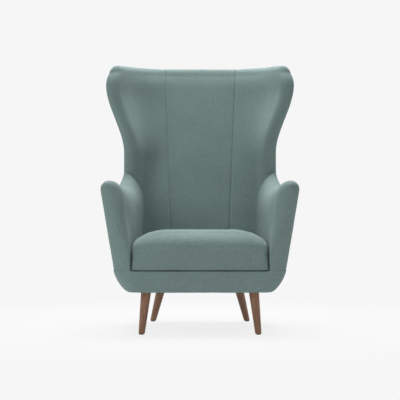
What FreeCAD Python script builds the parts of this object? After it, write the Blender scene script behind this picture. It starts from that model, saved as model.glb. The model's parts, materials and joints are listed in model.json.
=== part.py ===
import FreeCAD, Part
import functools
import math
import os

# Wing-back upholstered armchair, millimetres, +Z up, front facing -Y, origin on the floor below the middle.
# "left" and "right" are as seen from the front of the chair: left is -X.

V = FreeCAD.Vector
OUT = "parts"

# Clearances between pieces that only touch on the real chair
SKIN_GAP = 0.5
SEAT_GAP = 0.3
LIFT_GAP = 5.0
STUD_GAP = 0.2
ARM_BACK_GAP = 0.9

# How far cutting shapes run past what they cut
CUT_RUN = 5.0
FAR = 1000.0

# Heights of the main forms
LEG_HEIGHT = 168.0
BASE_TOP = 250.0
CUSHION_CROWN_Z = 403.0
CUSHION_EDGE_Z = 357.0
ARM_NOSE_Z = 593.0
ARM_DIP_Z = 571.0
ARM_BACK_Z = 631.0
WAIST_Z = 700.0
WING_Z = 992.0
BACK_TOP = 1094.0

# Depth of the main forms
FRONT_Y = -406.0
ARM_FRONT_Y = -408.0
BACK_FOOT_Y = 253.0
BACK_RAKE = 0.19

# Cover and padding thicknesses
COVER = 2.0
DUST_SHEET = 1.0

# Back shell with wings, by height
BACK_FOOT_HALF_WIDTH = 327.0
WAIST_HALF_WIDTH = 322.0
WING_HALF_WIDTH = 398.0
WING_TOP_HALF_WIDTH = 390.0
BACK_FOOT_THICK = 155.0
BACK_TOP_THICK = 63.0
WING_FOOT_Y = 60.0
WING_WAIST_Y = 120.0
WING_FRONT_Y = 114.0
WING_TOP_Y = 138.0
NOSE_FOOT_R = 35.0
NOSE_TOP_R = 31.0
FOOT_FLARE = 70.0
WING_FLARE = 61.0
WING_BEND_SHARE = 0.6
TOP_ROLL_R = 30.0
SEAM_TOP_X = 150.0
SEAM_SEAT_X = 121.0
SEAM_SEAT_Z = 400.0
EDGE_SEAM_DEPTH = 7.0
EDGE_SEAM_DROP = 18.0
OUTSIDE_REACH = 20.0

# Arms
ARM_INNER_FRONT_X = 268.0
ARM_INNER_BACK_X = 242.0
ARM_OUTER_FRONT_X = 335.0
ARM_OUTER_BACK_X = 318.0
ARM_LEAN = 0.155
ARM_LEAN_POWER = 1.5
ARM_BACK_Y = 120.0
ARM_BURIED_Y = 168.0
ARM_DIP_Y = -150.0
ARM_NOSE_Y = -360.0
ARM_NOSE_OUTER_FRONT_R = 28.0
ARM_NOSE_OUTER_BACK_R = 10.0
ARM_NOSE_INNER_FRONT_R = 60.0
ARM_NOSE_INNER_BACK_R = 50.0
ARM_SHOULDER_TILT = 58.0
ARM_FRONT_R = 25.0
ARM_FRONT_DEPTH = 42.0

# Base band round the seat frame
BASE_HULL_INSET = 44.0
BASE_EDGE_INSET = 12.0
BASE_FRONT_CORNER_R = 42.0
BASE_BACK_HALF_WIDTH = 322.0
BASE_BACK_CORNER_R = 135.0
BASE_MARGIN = 22.0

# Seat frame
RAIL_THICK = 28.0
RAIL_BOTTOM = 174.0
RAIL_TOP = 226.0
SIDE_RAIL_X = 272.0
FRONT_RAIL_Y = -386.0
REAR_RAIL_Y = 226.0
SIDE_RAIL_END_Y = 130.0
CORNER_BLOCK_Y = 60.0
LEG_BLOCK_X = 88.0
LEG_BLOCK_Y = 80.0
LEG_BLOCK_TOP = 214.0

# Back frame
POST_WIDTH = 28.0
POST_DEPTH = 34.0
POST_BACK_INSET = 20.0
POST_FOOT_Z = 182.0
POST_TOP_Z = 1010.0
POST_FOOT_X = 215.0
POST_TOP_X = 150.0
CREST_TOP_Z = 1056.0
CREST_HALF_WIDTH = 172.0
CREST_DEPTH = 24.0
LUMBAR_Z = 300.0
LUMBAR_HEIGHT = 40.0
WING_FRAME_INSET = 26.0
WING_FRAME_THICK = 12.0
WING_FRAME_FOOT_Z = 330.0
WEB_WIDTH = 50.0
WEB_THICK = 1.6
WEB_FIRST_Z = 400.0
WEB_PITCH = 105.0
WEB_COUNT = 6

# Arm frame
ARM_POST_X = 30.0
ARM_POST_Y = 36.0
ARM_POST_FOOT_Z = 196.0
ARM_POST_TOP_Z = 524.0
ARM_POST_SHIFT = 32.0
ARM_POST_FRONT_Y = -372.0
ARM_RAIL_WIDTH = 24.0
ARM_RAIL_TOP = 520.0
ARM_RAIL_HEIGHT = 30.0

# Seat suspension
SPRING_COUNT = 5
SPRING_PITCH = 92.0
SPRING_WIRE_R = 1.9
SPRING_WIDTH = 46.0
SPRING_LOOP_R = 9.0
SPRING_LOOPS = 30
CLIP_WIDTH = 24.0
CLIP_DEPTH = 18.0
CLIP_HEIGHT = 5.0
HESSIAN = 1.2
DECK_PAD = 11.0
DECK_HALF_WIDTH = 238.0

# Seat cushion
CUSHION_FRONT_Y = -405.0
CUSHION_BACK_Y = 93.0
CUSHION_BOTTOM_EDGE = 12.0
CUSHION_SIDE_BULGE = 4.0
CUSHION_CORNER = 26.0
CUSHION_BACK_DROP = 14.0
CUSHION_FRONT_CROWN = 0.35
CUSHION_BACK_CROWN = 0.2
ZIP_LENGTH = 420.0
ZIP_TAPE = 26.0
ZIP_THICK = 1.5
ZIP_CHAIN = 6.0
ZIP_SLIDER_LENGTH = 12.0
ZIP_SLIDER_WIDTH = 9.0
ZIP_SLIDER_THICK = 2.0
ZIP_PULL_LENGTH = 22.0
ZIP_PULL_SINK = 0.5

# Legs
LEG_TOP_R = 20.0
LEG_FOOT_R = 12.0
FRONT_LEG_TOP = (208.5, -331.0)
FRONT_LEG_FOOT = (226.0, -345.0)
REAR_LEG_TOP = (159.0, 170.0)
REAR_LEG_FOOT = (202.0, 226.0)
FOOT_CHAMFER = 2.5
LEG_OVERRUN = 30.0
GLIDE_R = 8.5
GLIDE_THICK = 3.0
PLATE_SIZE = 62.0
PLATE_THICK = 2.5
STUD_R = 4.0
STUD_IN_LEG = 34.0
STUD_IN_BLOCK = 26.0
SCREW_R = 2.0
SCREW_HEAD_R = 4.0
SCREW_HEAD = 1.6
SCREW_LENGTH = 18.0
SCREW_SPACING = 46.0


# Small helpers

def mix(a, b, t):
    return a + (b - a) * t


def ease(t):
    t = min(1.0, max(0.0, t))
    return t * t * (3.0 - 2.0 * t)


def wire_of(edges):
    return Part.Wire(edges)


def line(a, b):
    return Part.LineSegment(a, b).toShape()


def arc(a, m, b):
    return Part.Arc(a, m, b).toShape()


def loft(wires, ruled=False):
    return Part.makeLoft(wires, True, ruled)


def box(x0, x1, y0, y1, z0, z1):
    return Part.makeBox(x1 - x0, y1 - y0, z1 - z0, V(x0, y0, z0))


def rectangle(x0, x1, y0, y1, z):
    return Part.makePolygon([V(x0, y0, z), V(x1, y0, z), V(x1, y1, z), V(x0, y1, z), V(x0, y0, z)])


def leaning_box(foot, top, z0, z1):
    """A bar between two level rectangles, each given as (x0, x1, y0, y1)."""
    return loft([rectangle(*foot, z0), rectangle(*top, z1)], True)


def mirrored(shape):
    return shape.mirror(V(0, 0, 0), V(1, 0, 0))


def save(name, *shapes):
    """Writes one node; several separate solids of one kind share it."""
    solids = [s for shape in shapes for s in shape.Solids]
    for s in solids:
        if not s.isValid() or s.Volume <= 0:
            print("bad solid in", name, s.isValid(), s.Volume)
    whole = solids[0] if len(solids) == 1 else Part.makeCompound(solids)
    whole.exportStep(os.path.join(OUT, name + ".step"))
    print(name, len(solids), round(sum(s.Volume for s in solids) / 1000.0, 2), "cm3")


def save_pair(name, right):
    save("right_" + name, right)
    save("left_" + name, mirrored(right))


# Back shell: level sections of a horseshoe band, described by its front and side outlines

def back_rear_y(z):
    return BACK_FOOT_Y + (z - BASE_TOP) * BACK_RAKE


def back_face_y(z):
    share = (z - BASE_TOP) / (BACK_TOP - TOP_ROLL_R - BASE_TOP)
    return back_rear_y(z) - mix(BACK_FOOT_THICK, BACK_TOP_THICK, share)


def wing_half_width(z):
    if z < WAIST_Z:
        return mix(BACK_FOOT_HALF_WIDTH, WAIST_HALF_WIDTH, ease((z - BASE_TOP) / (WAIST_Z - BASE_TOP)))
    if z < WING_Z:
        return mix(WAIST_HALF_WIDTH, WING_HALF_WIDTH, ease((z - WAIST_Z) / (WING_Z - WAIST_Z)))
    return mix(WING_HALF_WIDTH, WING_TOP_HALF_WIDTH, ((z - WING_Z) / (BACK_TOP - TOP_ROLL_R - WING_Z)) ** 2)


def wing_front_y(z):
    if z < WAIST_Z:
        return mix(WING_FOOT_Y, WING_WAIST_Y, math.sin(math.pi / 2 * (z - BASE_TOP) / (WAIST_Z - BASE_TOP)))
    if z < WING_Z:
        return mix(WING_WAIST_Y, WING_FRONT_Y, ease((z - WAIST_Z) / (WING_Z - WAIST_Z)))
    return mix(WING_FRONT_Y, WING_TOP_Y, ((z - WING_Z) / (BACK_TOP - TOP_ROLL_R - WING_Z)) ** 2)


def wing_nose_r(z):
    return mix(NOSE_FOOT_R, NOSE_TOP_R, ease((z - BASE_TOP) / (BACK_TOP - BASE_TOP)))


def wing_flare(z):
    return math.radians(mix(FOOT_FLARE, WING_FLARE, ease((z - BASE_TOP) / (WING_Z - BASE_TOP))))


def bend_radius(depth, flare):
    return WING_BEND_SHARE * depth / (1.0 - math.cos(flare))


def back_path(z, outer):
    """Half of the band's rear or front face: flat, face y, bend radius, flare, bend end, nose start."""
    flare = wing_flare(z)
    nose = wing_nose_r(z)
    centre = V(wing_half_width(z) - nose, wing_front_y(z) + nose, z)
    normal = V(math.sin(flare), math.cos(flare), 0)
    end = centre + normal * (nose if outer else -nose)
    face = back_rear_y(z) if outer else back_face_y(z)
    depth = face - end.y
    radius = bend_radius(depth, flare)
    straight = (depth - radius * (1.0 - math.cos(flare))) / math.sin(flare)
    bend_end = end - V(math.cos(flare), -math.sin(flare), 0) * straight
    flat = bend_end.x - radius * math.sin(flare)
    return flat, face, radius, flare, bend_end, end


def flip(p):
    return V(-p.x, p.y, p.z)


def half_path(z, outer, inset):
    """Points of half a face, moved by inset into the band: flat end, bend middle, bend end, nose start."""
    flat, face, radius, flare, bend_end, end = back_path(z, outer)
    into = -inset if outer else inset
    centre = V(flat, face - radius, z)
    normal = V(math.sin(flare), math.cos(flare), 0)
    middle = centre + V(math.sin(flare / 2), math.cos(flare / 2), 0) * (radius + into)
    return V(flat, face + into, z), middle, bend_end + normal * into, end + normal * into


def back_section(z, inset, level=None):
    """One closed level section of the band, inset all round, drawn at the height level (z by default)."""
    o1, om, o2, o3 = half_path(z, True, inset)
    i1, im, i2, i3 = half_path(z, False, inset)
    flare = wing_flare(z)
    nose = wing_nose_r(z)
    centre = V(wing_half_width(z) - nose, wing_front_y(z) + nose, z)
    radius = nose - inset

    def on_nose(turn):
        a = flare + turn
        return centre + V(math.sin(a), math.cos(a), 0) * radius

    n1, tip, n2 = on_nose(math.pi / 4), on_nose(math.pi / 2), on_nose(3 * math.pi / 4)
    right = [arc(o1, om, o2), line(o2, o3), arc(o3, n1, tip), arc(tip, n2, i3), line(i3, i2), arc(i2, im, i1)]
    left = [
        arc(flip(i1), flip(im), flip(i2)),
        line(flip(i2), flip(i3)),
        arc(flip(i3), flip(n2), flip(tip)),
        arc(flip(tip), flip(n1), flip(o3)),
        line(flip(o3), flip(o2)),
        arc(flip(o2), flip(om), flip(o1)),
    ]
    wire = wire_of([line(flip(o1), o1)] + right + [line(i1, flip(i1))] + left)
    if level is not None:
        wire.translate(V(0, 0, level - z))
    return wire


BACK_LEVELS = [0.0, 0.1, 0.22, 0.34, 0.46, 0.56, 0.66, 0.76, 0.86, 0.94]
ROLL_TURNS = [0.0, 30.0, 52.0, 70.0, 81.0]


@functools.lru_cache(None)
def back_shell(inset, foot=BASE_TOP + SEAT_GAP):
    """The whole padded back, inset by a cover or clearance, with its rolled top edge."""
    roll_z = BACK_TOP - TOP_ROLL_R
    wires = [back_section(mix(BASE_TOP, roll_z, t), inset) for t in BACK_LEVELS[1:]]
    wires.insert(0, back_section(BASE_TOP, inset, foot))
    for turn in ROLL_TURNS:
        a = math.radians(turn)
        level = roll_z + (TOP_ROLL_R - inset) * math.sin(a)
        wires.append(back_section(roll_z, TOP_ROLL_R - (TOP_ROLL_R - inset) * math.cos(a), level))
    return loft(wires)


def shell_layer(near, far, foot, top):
    """The layer of the back between two depths from its rear face, wing edge to wing edge."""
    wires = []
    for t in BACK_LEVELS + [1.0]:
        z = mix(BASE_TOP, BACK_TOP - TOP_ROLL_R, t)
        level = mix(foot, top, t)
        a1, am, a2, a3 = half_path(z, True, near)
        b1, bm, b2, b3 = half_path(z, True, far)
        edges = [line(flip(a1), a1), arc(a1, am, a2), line(a2, a3), line(a3, b3)]
        edges += [line(b3, b2), arc(b2, bm, b1)]
        edges += [line(b1, flip(b1)), arc(flip(b1), flip(bm), flip(b2)), line(flip(b2), flip(b3))]
        edges += [line(flip(b3), flip(a3)), line(flip(a3), flip(a2)), arc(flip(a2), flip(am), flip(a1))]
        wire = wire_of(edges)
        wire.translate(V(0, 0, level - z))
        wires.append(wire)
    return loft(wires)


def outside_back_zone():
    """Takes the rear cover off the back shell, along a seam at the wing edges and below the top."""
    return shell_layer(-OUTSIDE_REACH, EDGE_SEAM_DEPTH, BASE_TOP, BACK_TOP - EDGE_SEAM_DROP)


# Arms: upright cross sections set out along the depth of the chair

def arm_top_z(y):
    if y < ARM_DIP_Y:
        return mix(ARM_DIP_Z, ARM_NOSE_Z, ((y - ARM_DIP_Y) / (ARM_NOSE_Y - ARM_DIP_Y)) ** 2)
    return mix(ARM_DIP_Z, ARM_BACK_Z, ((y - ARM_DIP_Y) / (ARM_BACK_Y - ARM_DIP_Y)) ** 2)


def arm_inner_x(y):
    return mix(ARM_INNER_FRONT_X, ARM_INNER_BACK_X, (y - ARM_FRONT_Y) / (ARM_BACK_Y - ARM_FRONT_Y))


def arm_outer_x(y):
    return mix(ARM_OUTER_FRONT_X, ARM_OUTER_BACK_X, (y - ARM_FRONT_Y) / (ARM_BACK_Y - ARM_FRONT_Y))


def arm_lean(y):
    share = max(0.0, (ARM_BACK_Y - y) / (ARM_BACK_Y - ARM_NOSE_Y))
    return ARM_LEAN * min(1.0, share) ** ARM_LEAN_POWER


def arm_nose_r(y):
    """(outer, inner) rounding of the arm's top at depth y."""
    share = min(1.0, (y - ARM_FRONT_Y) / (ARM_BACK_Y - ARM_FRONT_Y))
    outer = mix(ARM_NOSE_OUTER_FRONT_R, ARM_NOSE_OUTER_BACK_R, share)
    return outer, mix(ARM_NOSE_INNER_FRONT_R, ARM_NOSE_INNER_BACK_R, share)


def arm_section(y, inset, level=None, foot=BASE_TOP + SEAT_GAP):
    """One upright section of the right arm, inset all round but at its foot, drawn at depth level."""
    lean = arm_lean(y)
    slope = math.hypot(1.0, lean)
    tilt = math.radians(ARM_SHOULDER_TILT)
    inner = arm_inner_x(y)
    outer_r, inner_r = arm_nose_r(y)
    outer_nose = V(0, y, arm_top_z(y) - outer_r)
    outer_nose.x = arm_outer_x(y) + lean * (outer_nose.z - BASE_TOP) - outer_r * slope
    inner_nose = V(outer_nose.x, y, arm_top_z(y) - inner_r)
    shoulder_r = (inner_nose.x - inner_r * math.sin(tilt) - inner) / (1.0 - math.sin(tilt))
    shoulder = inner_nose + V(-math.sin(tilt), 0, math.cos(tilt)) * (inner_r - shoulder_r)

    def on_arc(centre, radius, angle):
        return centre + V(math.cos(angle), 0, math.sin(angle)) * (radius - inset)

    def arc_between(centre, radius, first, last):
        angles = (first, (first + last) / 2, last)
        return arc(*[on_arc(centre, radius, angle) for angle in angles])

    start, top, turn = -math.atan(lean), math.pi / 2, math.pi / 2 + tilt
    inner_foot = V(inner + inset, y, foot)
    outer_foot = V(arm_outer_x(y) + lean * (foot - BASE_TOP) - inset * slope, y, foot)
    edges = [
        line(inner_foot, outer_foot),
        line(outer_foot, on_arc(outer_nose, outer_r, start)),
        arc_between(outer_nose, outer_r, start, top),
        arc_between(inner_nose, inner_r, top, turn),
        arc_between(shoulder, shoulder_r, turn, math.pi),
        line(on_arc(shoulder, shoulder_r, math.pi), inner_foot),
    ]
    wire = wire_of(edges)
    if level is not None:
        wire.translate(V(0, level - y, 0))
    return wire


ARM_STATIONS = [0.0, 0.12, 0.26, 0.42, 0.6, 0.8]


@functools.lru_cache(None)
def arm_shell(inset, foot=BASE_TOP + SEAT_GAP):
    """The right arm with its rounded front, inset by a cover or clearance."""
    start = ARM_FRONT_Y + ARM_FRONT_DEPTH
    wires = [arm_section(mix(ARM_BURIED_Y, start, t), inset, None, foot) for t in ARM_STATIONS]
    for turn in ROLL_TURNS:
        a = math.radians(turn)
        level = start - (ARM_FRONT_DEPTH - inset) * math.sin(a)
        wires.append(arm_section(start, ARM_FRONT_R - (ARM_FRONT_R - inset) * math.cos(a), level, foot))
    return loft(wires)


# Base band: level sections, rounded in plan and drawn in towards the floor

def base_inset(z):
    """(side, end) inset at height z."""
    share = min(1.0, (BASE_TOP - z) / (BASE_TOP - LEG_HEIGHT))
    curve = 1.0 - math.sqrt(max(0.0, 1.0 - share * share))
    return ARM_LEAN * (BASE_TOP - z) + BASE_HULL_INSET * curve, BASE_EDGE_INSET * curve


def base_section(z, inset, level=None):
    side, end = base_inset(z)
    side += inset
    end += inset
    front, back = FRONT_Y + end, BACK_FOOT_Y - end
    x_front, x_back = ARM_OUTER_FRONT_X - side, BASE_BACK_HALF_WIDTH - side
    height = z if level is None else level
    rf, rb = BASE_FRONT_CORNER_R - inset, BASE_BACK_CORNER_R - inset
    diagonal = 1.0 - math.sqrt(0.5)
    f1, f2 = V(x_front - rf, front, height), V(x_front, front + rf, height)
    fm = V(x_front - rf * diagonal, front + rf * diagonal, height)
    b1, b2 = V(x_back, back - rb, height), V(x_back - rb, back, height)
    bm = V(x_back - rb * diagonal, back - rb * diagonal, height)
    right = [arc(f1, fm, f2), line(f2, b1), arc(b1, bm, b2)]
    left = [arc(flip(b2), flip(bm), flip(b1)), line(flip(b1), flip(f2)), arc(flip(f2), flip(fm), flip(f1))]
    return wire_of([line(flip(f1), f1)] + right + [line(b2, flip(b2))] + left)


BASE_LEVELS = [0.0, 0.28, 0.52, 0.72, 0.87, 0.96, 1.0]


def base_shell(inset, bottom, top):
    """The base band between two heights, inset by a cover or clearance."""
    wires = []
    for t in BASE_LEVELS:
        z = mix(BASE_TOP, LEG_HEIGHT, t)
        wires.append(base_section(z, inset, mix(top, bottom, t)))
    return loft(wires)


# Frame members

def post_x(z):
    return mix(POST_FOOT_X, POST_TOP_X, (z - POST_FOOT_Z) / (POST_TOP_Z - POST_FOOT_Z))


def raked_box(x_at, front, rear, z0, z1):
    """A box along the rake of the back; x_at(z) is its x range, front and rear are depths from the rear."""
    def rectangle_at(z):
        x0, x1 = x_at(z)
        y = back_rear_y(z)
        return (x0, x1, y - front, y - rear)
    return leaning_box(rectangle_at(z0), rectangle_at(z1), z0, z1)


def back_post():
    def sides(z):
        return post_x(z) - POST_WIDTH / 2, post_x(z) + POST_WIDTH / 2
    return raked_box(sides, POST_BACK_INSET + POST_DEPTH, POST_BACK_INSET, POST_FOOT_Z, POST_TOP_Z)


def between_posts(z):
    reach = post_x(z) - POST_WIDTH / 2 - SEAT_GAP
    return -reach, reach


def across_posts(z):
    reach = post_x(z) + POST_WIDTH / 2
    return -reach, reach


def outside_post(z):
    return post_x(z) + POST_WIDTH / 2, WING_HALF_WIDTH * 2


def crest_rail():
    def sides(z):
        return -CREST_HALF_WIDTH, CREST_HALF_WIDTH
    rear = POST_BACK_INSET
    return raked_box(sides, rear + CREST_DEPTH, rear, POST_TOP_Z + SEAT_GAP, CREST_TOP_Z)


def lumbar_rail():
    front = POST_BACK_INSET + POST_DEPTH - SEAT_GAP
    return raked_box(between_posts, front, front - RAIL_THICK, LUMBAR_Z, LUMBAR_Z + LUMBAR_HEIGHT)


def back_webbing():
    front = POST_BACK_INSET + POST_DEPTH
    straps = []
    for n in range(WEB_COUNT):
        z = WEB_FIRST_Z + n * WEB_PITCH
        straps.append(raked_box(across_posts, front + WEB_THICK, front, z, z + WEB_WIDTH))
    return straps


def frame_void():
    """The hollow between the back posts, from the webbing to the rear of the posts."""
    front = POST_BACK_INSET + POST_DEPTH + WEB_THICK
    return raked_box(across_posts, front, POST_BACK_INSET, BASE_TOP - 1, POST_TOP_Z)


@functools.lru_cache(None)
def wing_frame():
    """Moulded plywood wing that carries on from the post, in the middle of the padding."""
    zone = raked_box(outside_post, BACK_TOP, -BACK_TOP, WING_FRAME_FOOT_Z, POST_TOP_Z)
    far = WING_FRAME_INSET + WING_FRAME_THICK
    return shell_layer(WING_FRAME_INSET, far, BASE_TOP, BACK_TOP - TOP_ROLL_R).common(zone)


def arm_post():
    x0 = SIDE_RAIL_X + SEAT_GAP
    y0 = ARM_POST_FRONT_Y
    foot = (x0, x0 + ARM_POST_X, y0, y0 + ARM_POST_Y)
    top = (x0 + ARM_POST_SHIFT, x0 + ARM_POST_SHIFT + ARM_POST_X, y0, y0 + ARM_POST_Y)
    return leaning_box(foot, top, ARM_POST_FOOT_Z, ARM_POST_TOP_Z)


def arm_rail():
    """Top rail of the arm, from the arm post back to the edge of the wing frame."""
    foot = ARM_RAIL_TOP - ARM_RAIL_HEIGHT
    z = ARM_RAIL_TOP - ARM_RAIL_HEIGHT / 2
    front = ARM_POST_FRONT_Y + ARM_POST_Y
    share = (z - ARM_POST_FOOT_Z) / (ARM_POST_TOP_Z - ARM_POST_FOOT_Z)
    x_front = SIDE_RAIL_X + SEAT_GAP + ARM_POST_X / 2 + ARM_POST_SHIFT * share
    end = half_path(foot, True, WING_FRAME_INSET + WING_FRAME_THICK)[3]
    half = ARM_RAIL_WIDTH / 2
    near = [V(x_front - half, front + SEAT_GAP, foot), V(x_front + half, front + SEAT_GAP, foot)]
    far = [V(end.x + half, end.y - SEAT_GAP, foot), V(end.x - half, end.y - SEAT_GAP, foot)]
    return Part.Face(Part.makePolygon(near + far + near[:1])).extrude(V(0, 0, ARM_RAIL_HEIGHT))


def seat_rails():
    inner = SIDE_RAIL_X - RAIL_THICK
    front_in, rear_in = FRONT_RAIL_Y + RAIL_THICK, REAR_RAIL_Y - RAIL_THICK
    rear_half = post_x(RAIL_TOP) - POST_WIDTH / 2 - SEAT_GAP
    side = box(inner, SIDE_RAIL_X, front_in, SIDE_RAIL_END_Y, RAIL_BOTTOM, RAIL_TOP)
    front = box(-SIDE_RAIL_X, SIDE_RAIL_X, FRONT_RAIL_Y, front_in, RAIL_BOTTOM, RAIL_TOP)
    rear = box(-rear_half, rear_half, rear_in, REAR_RAIL_Y, RAIL_BOTTOM, RAIL_TOP)
    return front, rear, side


def rear_block_side():
    """Outer side of the rear leg blocks, which stop at the back posts."""
    return post_x(LEG_BLOCK_TOP) - POST_WIDTH / 2 - SEAT_GAP


def corner_block():
    """Joins the side rail to the back post and the rear leg block."""
    x0 = rear_block_side() + SEAT_GAP
    x1 = SIDE_RAIL_X - RAIL_THICK - SEAT_GAP
    post_front = back_rear_y(POST_FOOT_Z) - POST_BACK_INSET - POST_DEPTH - SEAT_GAP
    post_out = POST_FOOT_X + POST_WIDTH / 2
    plan = [(x0, REAR_RAIL_Y - RAIL_THICK - LEG_BLOCK_Y), (x1, CORNER_BLOCK_Y), (x1, SIDE_RAIL_END_Y)]
    plan += [(post_out, post_front), (x0, post_front)]
    points = [V(x, y, RAIL_BOTTOM) for x, y in plan + plan[:1]]
    return Part.Face(Part.makePolygon(points)).extrude(V(0, 0, LEG_BLOCK_TOP - RAIL_BOTTOM))


def frame_outline():
    """The outline of the seat frame in plan, as a prism through the whole base."""
    rear = post_x(RAIL_TOP) - POST_WIDTH / 2
    right = [(SIDE_RAIL_X, FRONT_RAIL_Y), (SIDE_RAIL_X, SIDE_RAIL_END_Y), (rear, REAR_RAIL_Y)]
    left = [(-x, y) for x, y in reversed(right)]
    points = [V(x, y, 0) for x, y in right + left + right[:1]]
    return Part.Face(Part.makePolygon(points)).extrude(V(0, 0, 2 * BASE_TOP))


# Springs

def spring_path(x, y0, y1, z):
    """Zigzag wire: straight cross runs joined by half-round ends made of two arcs each."""
    half = SPRING_WIDTH / 2 - SPRING_LOOP_R
    step = 2 * SPRING_LOOP_R
    start = (y0 + y1 - SPRING_LOOPS * step) / 2
    side = 1
    edges = [line(V(x, y0, z), V(x, start - SPRING_LOOP_R, z))]
    edges.append(arc(
        V(x, start - SPRING_LOOP_R, z),
        V(x + SPRING_LOOP_R * (1 - math.sqrt(0.5)), start - SPRING_LOOP_R * (1 - math.sqrt(0.5)), z),
        V(x + SPRING_LOOP_R, start, z),
    ))
    edges.append(line(V(x + SPRING_LOOP_R, start, z), V(x + half, start, z)))
    y = start
    for n in range(SPRING_LOOPS):
        end_x = x + side * half
        bulge = x + side * (half + SPRING_LOOP_R)
        corner = SPRING_LOOP_R * math.sqrt(0.5)
        middle = V(bulge, y + SPRING_LOOP_R, z)
        low = V(end_x + side * corner, y + SPRING_LOOP_R - corner, z)
        high = V(end_x + side * corner, y + SPRING_LOOP_R + corner, z)
        edges.append(arc(V(end_x, y, z), low, middle))
        edges.append(arc(middle, high, V(end_x, y + step, z)))
        y += step
        side = -side
        if n < SPRING_LOOPS - 1:
            edges.append(line(V(end_x, y, z), V(x + side * half, y, z)))
    edges.append(line(V(x - side * half, y, z), V(x - side * SPRING_LOOP_R, y, z)))
    corner = SPRING_LOOP_R * (1 - math.sqrt(0.5))
    edges.append(arc(
        V(x - side * SPRING_LOOP_R, y, z),
        V(x - side * corner, y + corner, z),
        V(x, y + SPRING_LOOP_R, z),
    ))
    edges.append(line(V(x, y + SPRING_LOOP_R, z), V(x, y1, z)))
    return Part.Wire(edges)


def spring(x, y0, y1, z):
    path = spring_path(x, y0, y1, z)
    ring = Part.Wire(Part.makeCircle(SPRING_WIRE_R, V(x, y0, z), V(0, 1, 0)))
    return path.makePipeShell([ring], True, False)


def seat_suspension():
    clip_top = RAIL_TOP + CLIP_HEIGHT
    wire_z = clip_top + SPRING_WIRE_R + STUD_GAP
    y0, y1 = FRONT_RAIL_Y + RAIL_THICK / 2, REAR_RAIL_Y - RAIL_THICK / 2
    springs, clips = [], []
    for n in range(SPRING_COUNT):
        x = (n - (SPRING_COUNT - 1) / 2) * SPRING_PITCH
        springs.append(spring(x, y0, y1, wire_z))
        for y in (y0, y1):
            half_x, half_y = CLIP_WIDTH / 2, CLIP_DEPTH / 2
            clips.append(box(x - half_x, x + half_x, y - half_y, y + half_y, RAIL_TOP, clip_top))
    return springs, clips, wire_z + SPRING_WIRE_R


# Seat cushion: upright sections from front to back, each with a crown and drawn-in sides

def cushion_section(y, crown, edge, bottom, side_in, level=None):
    half = arm_inner_x(y) - LIFT_GAP - side_in
    z_mid = (edge + bottom) / 2
    draw = CUSHION_SIDE_BULGE
    depth = y if level is None else level
    a, b = V(half - draw, depth, bottom), V(half - draw, depth, edge)
    side = V(half, depth, z_mid)
    top = V(0, depth, crown)
    edges = [line(flip(a), a), arc(a, side, b), arc(b, top, flip(b)), arc(flip(b), flip(side), flip(a))]
    return wire_of(edges)


def cushion_shell(inset):
    """The seat cushion, rounded over at its front and back edges."""
    bottom = BASE_TOP + SEAT_GAP + inset
    rise = CUSHION_CROWN_Z - CUSHION_EDGE_Z
    wires = []
    start, stop = CUSHION_FRONT_Y + CUSHION_CORNER, CUSHION_BACK_Y - CUSHION_CORNER
    reach = CUSHION_CORNER - inset
    for turn in reversed(ROLL_TURNS):
        a = math.radians(turn)
        fall = CUSHION_CORNER - reach * math.cos(a)
        lift = CUSHION_BOTTOM_EDGE * (1.0 - math.cos(a))
        edge = CUSHION_EDGE_Z - CUSHION_BACK_DROP - fall
        level = start - reach * math.sin(a)
        crown = edge + rise * CUSHION_FRONT_CROWN
        wires.append(cushion_section(start, crown, edge, bottom + lift, fall / 2, level))
    for t in (0.2, 0.42, 0.66, 0.86):
        swell = math.sin(math.pi * (0.12 + 0.76 * t))
        edge = CUSHION_EDGE_Z - CUSHION_BACK_DROP * (1.0 - swell) - inset
        crown = CUSHION_CROWN_Z - rise * (1.0 - swell) - inset
        wires.append(cushion_section(mix(start, stop, t), crown, edge, bottom, inset))
    for turn in ROLL_TURNS:
        a = math.radians(turn)
        fall = CUSHION_CORNER - reach * math.cos(a)
        lift = CUSHION_BOTTOM_EDGE * (1.0 - math.cos(a))
        edge = CUSHION_EDGE_Z - CUSHION_BACK_DROP - fall
        level = stop + reach * math.sin(a)
        crown = edge + rise * CUSHION_BACK_CROWN
        wires.append(cushion_section(stop, crown, edge, bottom + lift, fall, level))
    resting = box(-WING_HALF_WIDTH, WING_HALF_WIDTH, ARM_FRONT_Y * 2, BACK_TOP, bottom, BACK_TOP)
    return loft(wires).common(resting)


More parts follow.
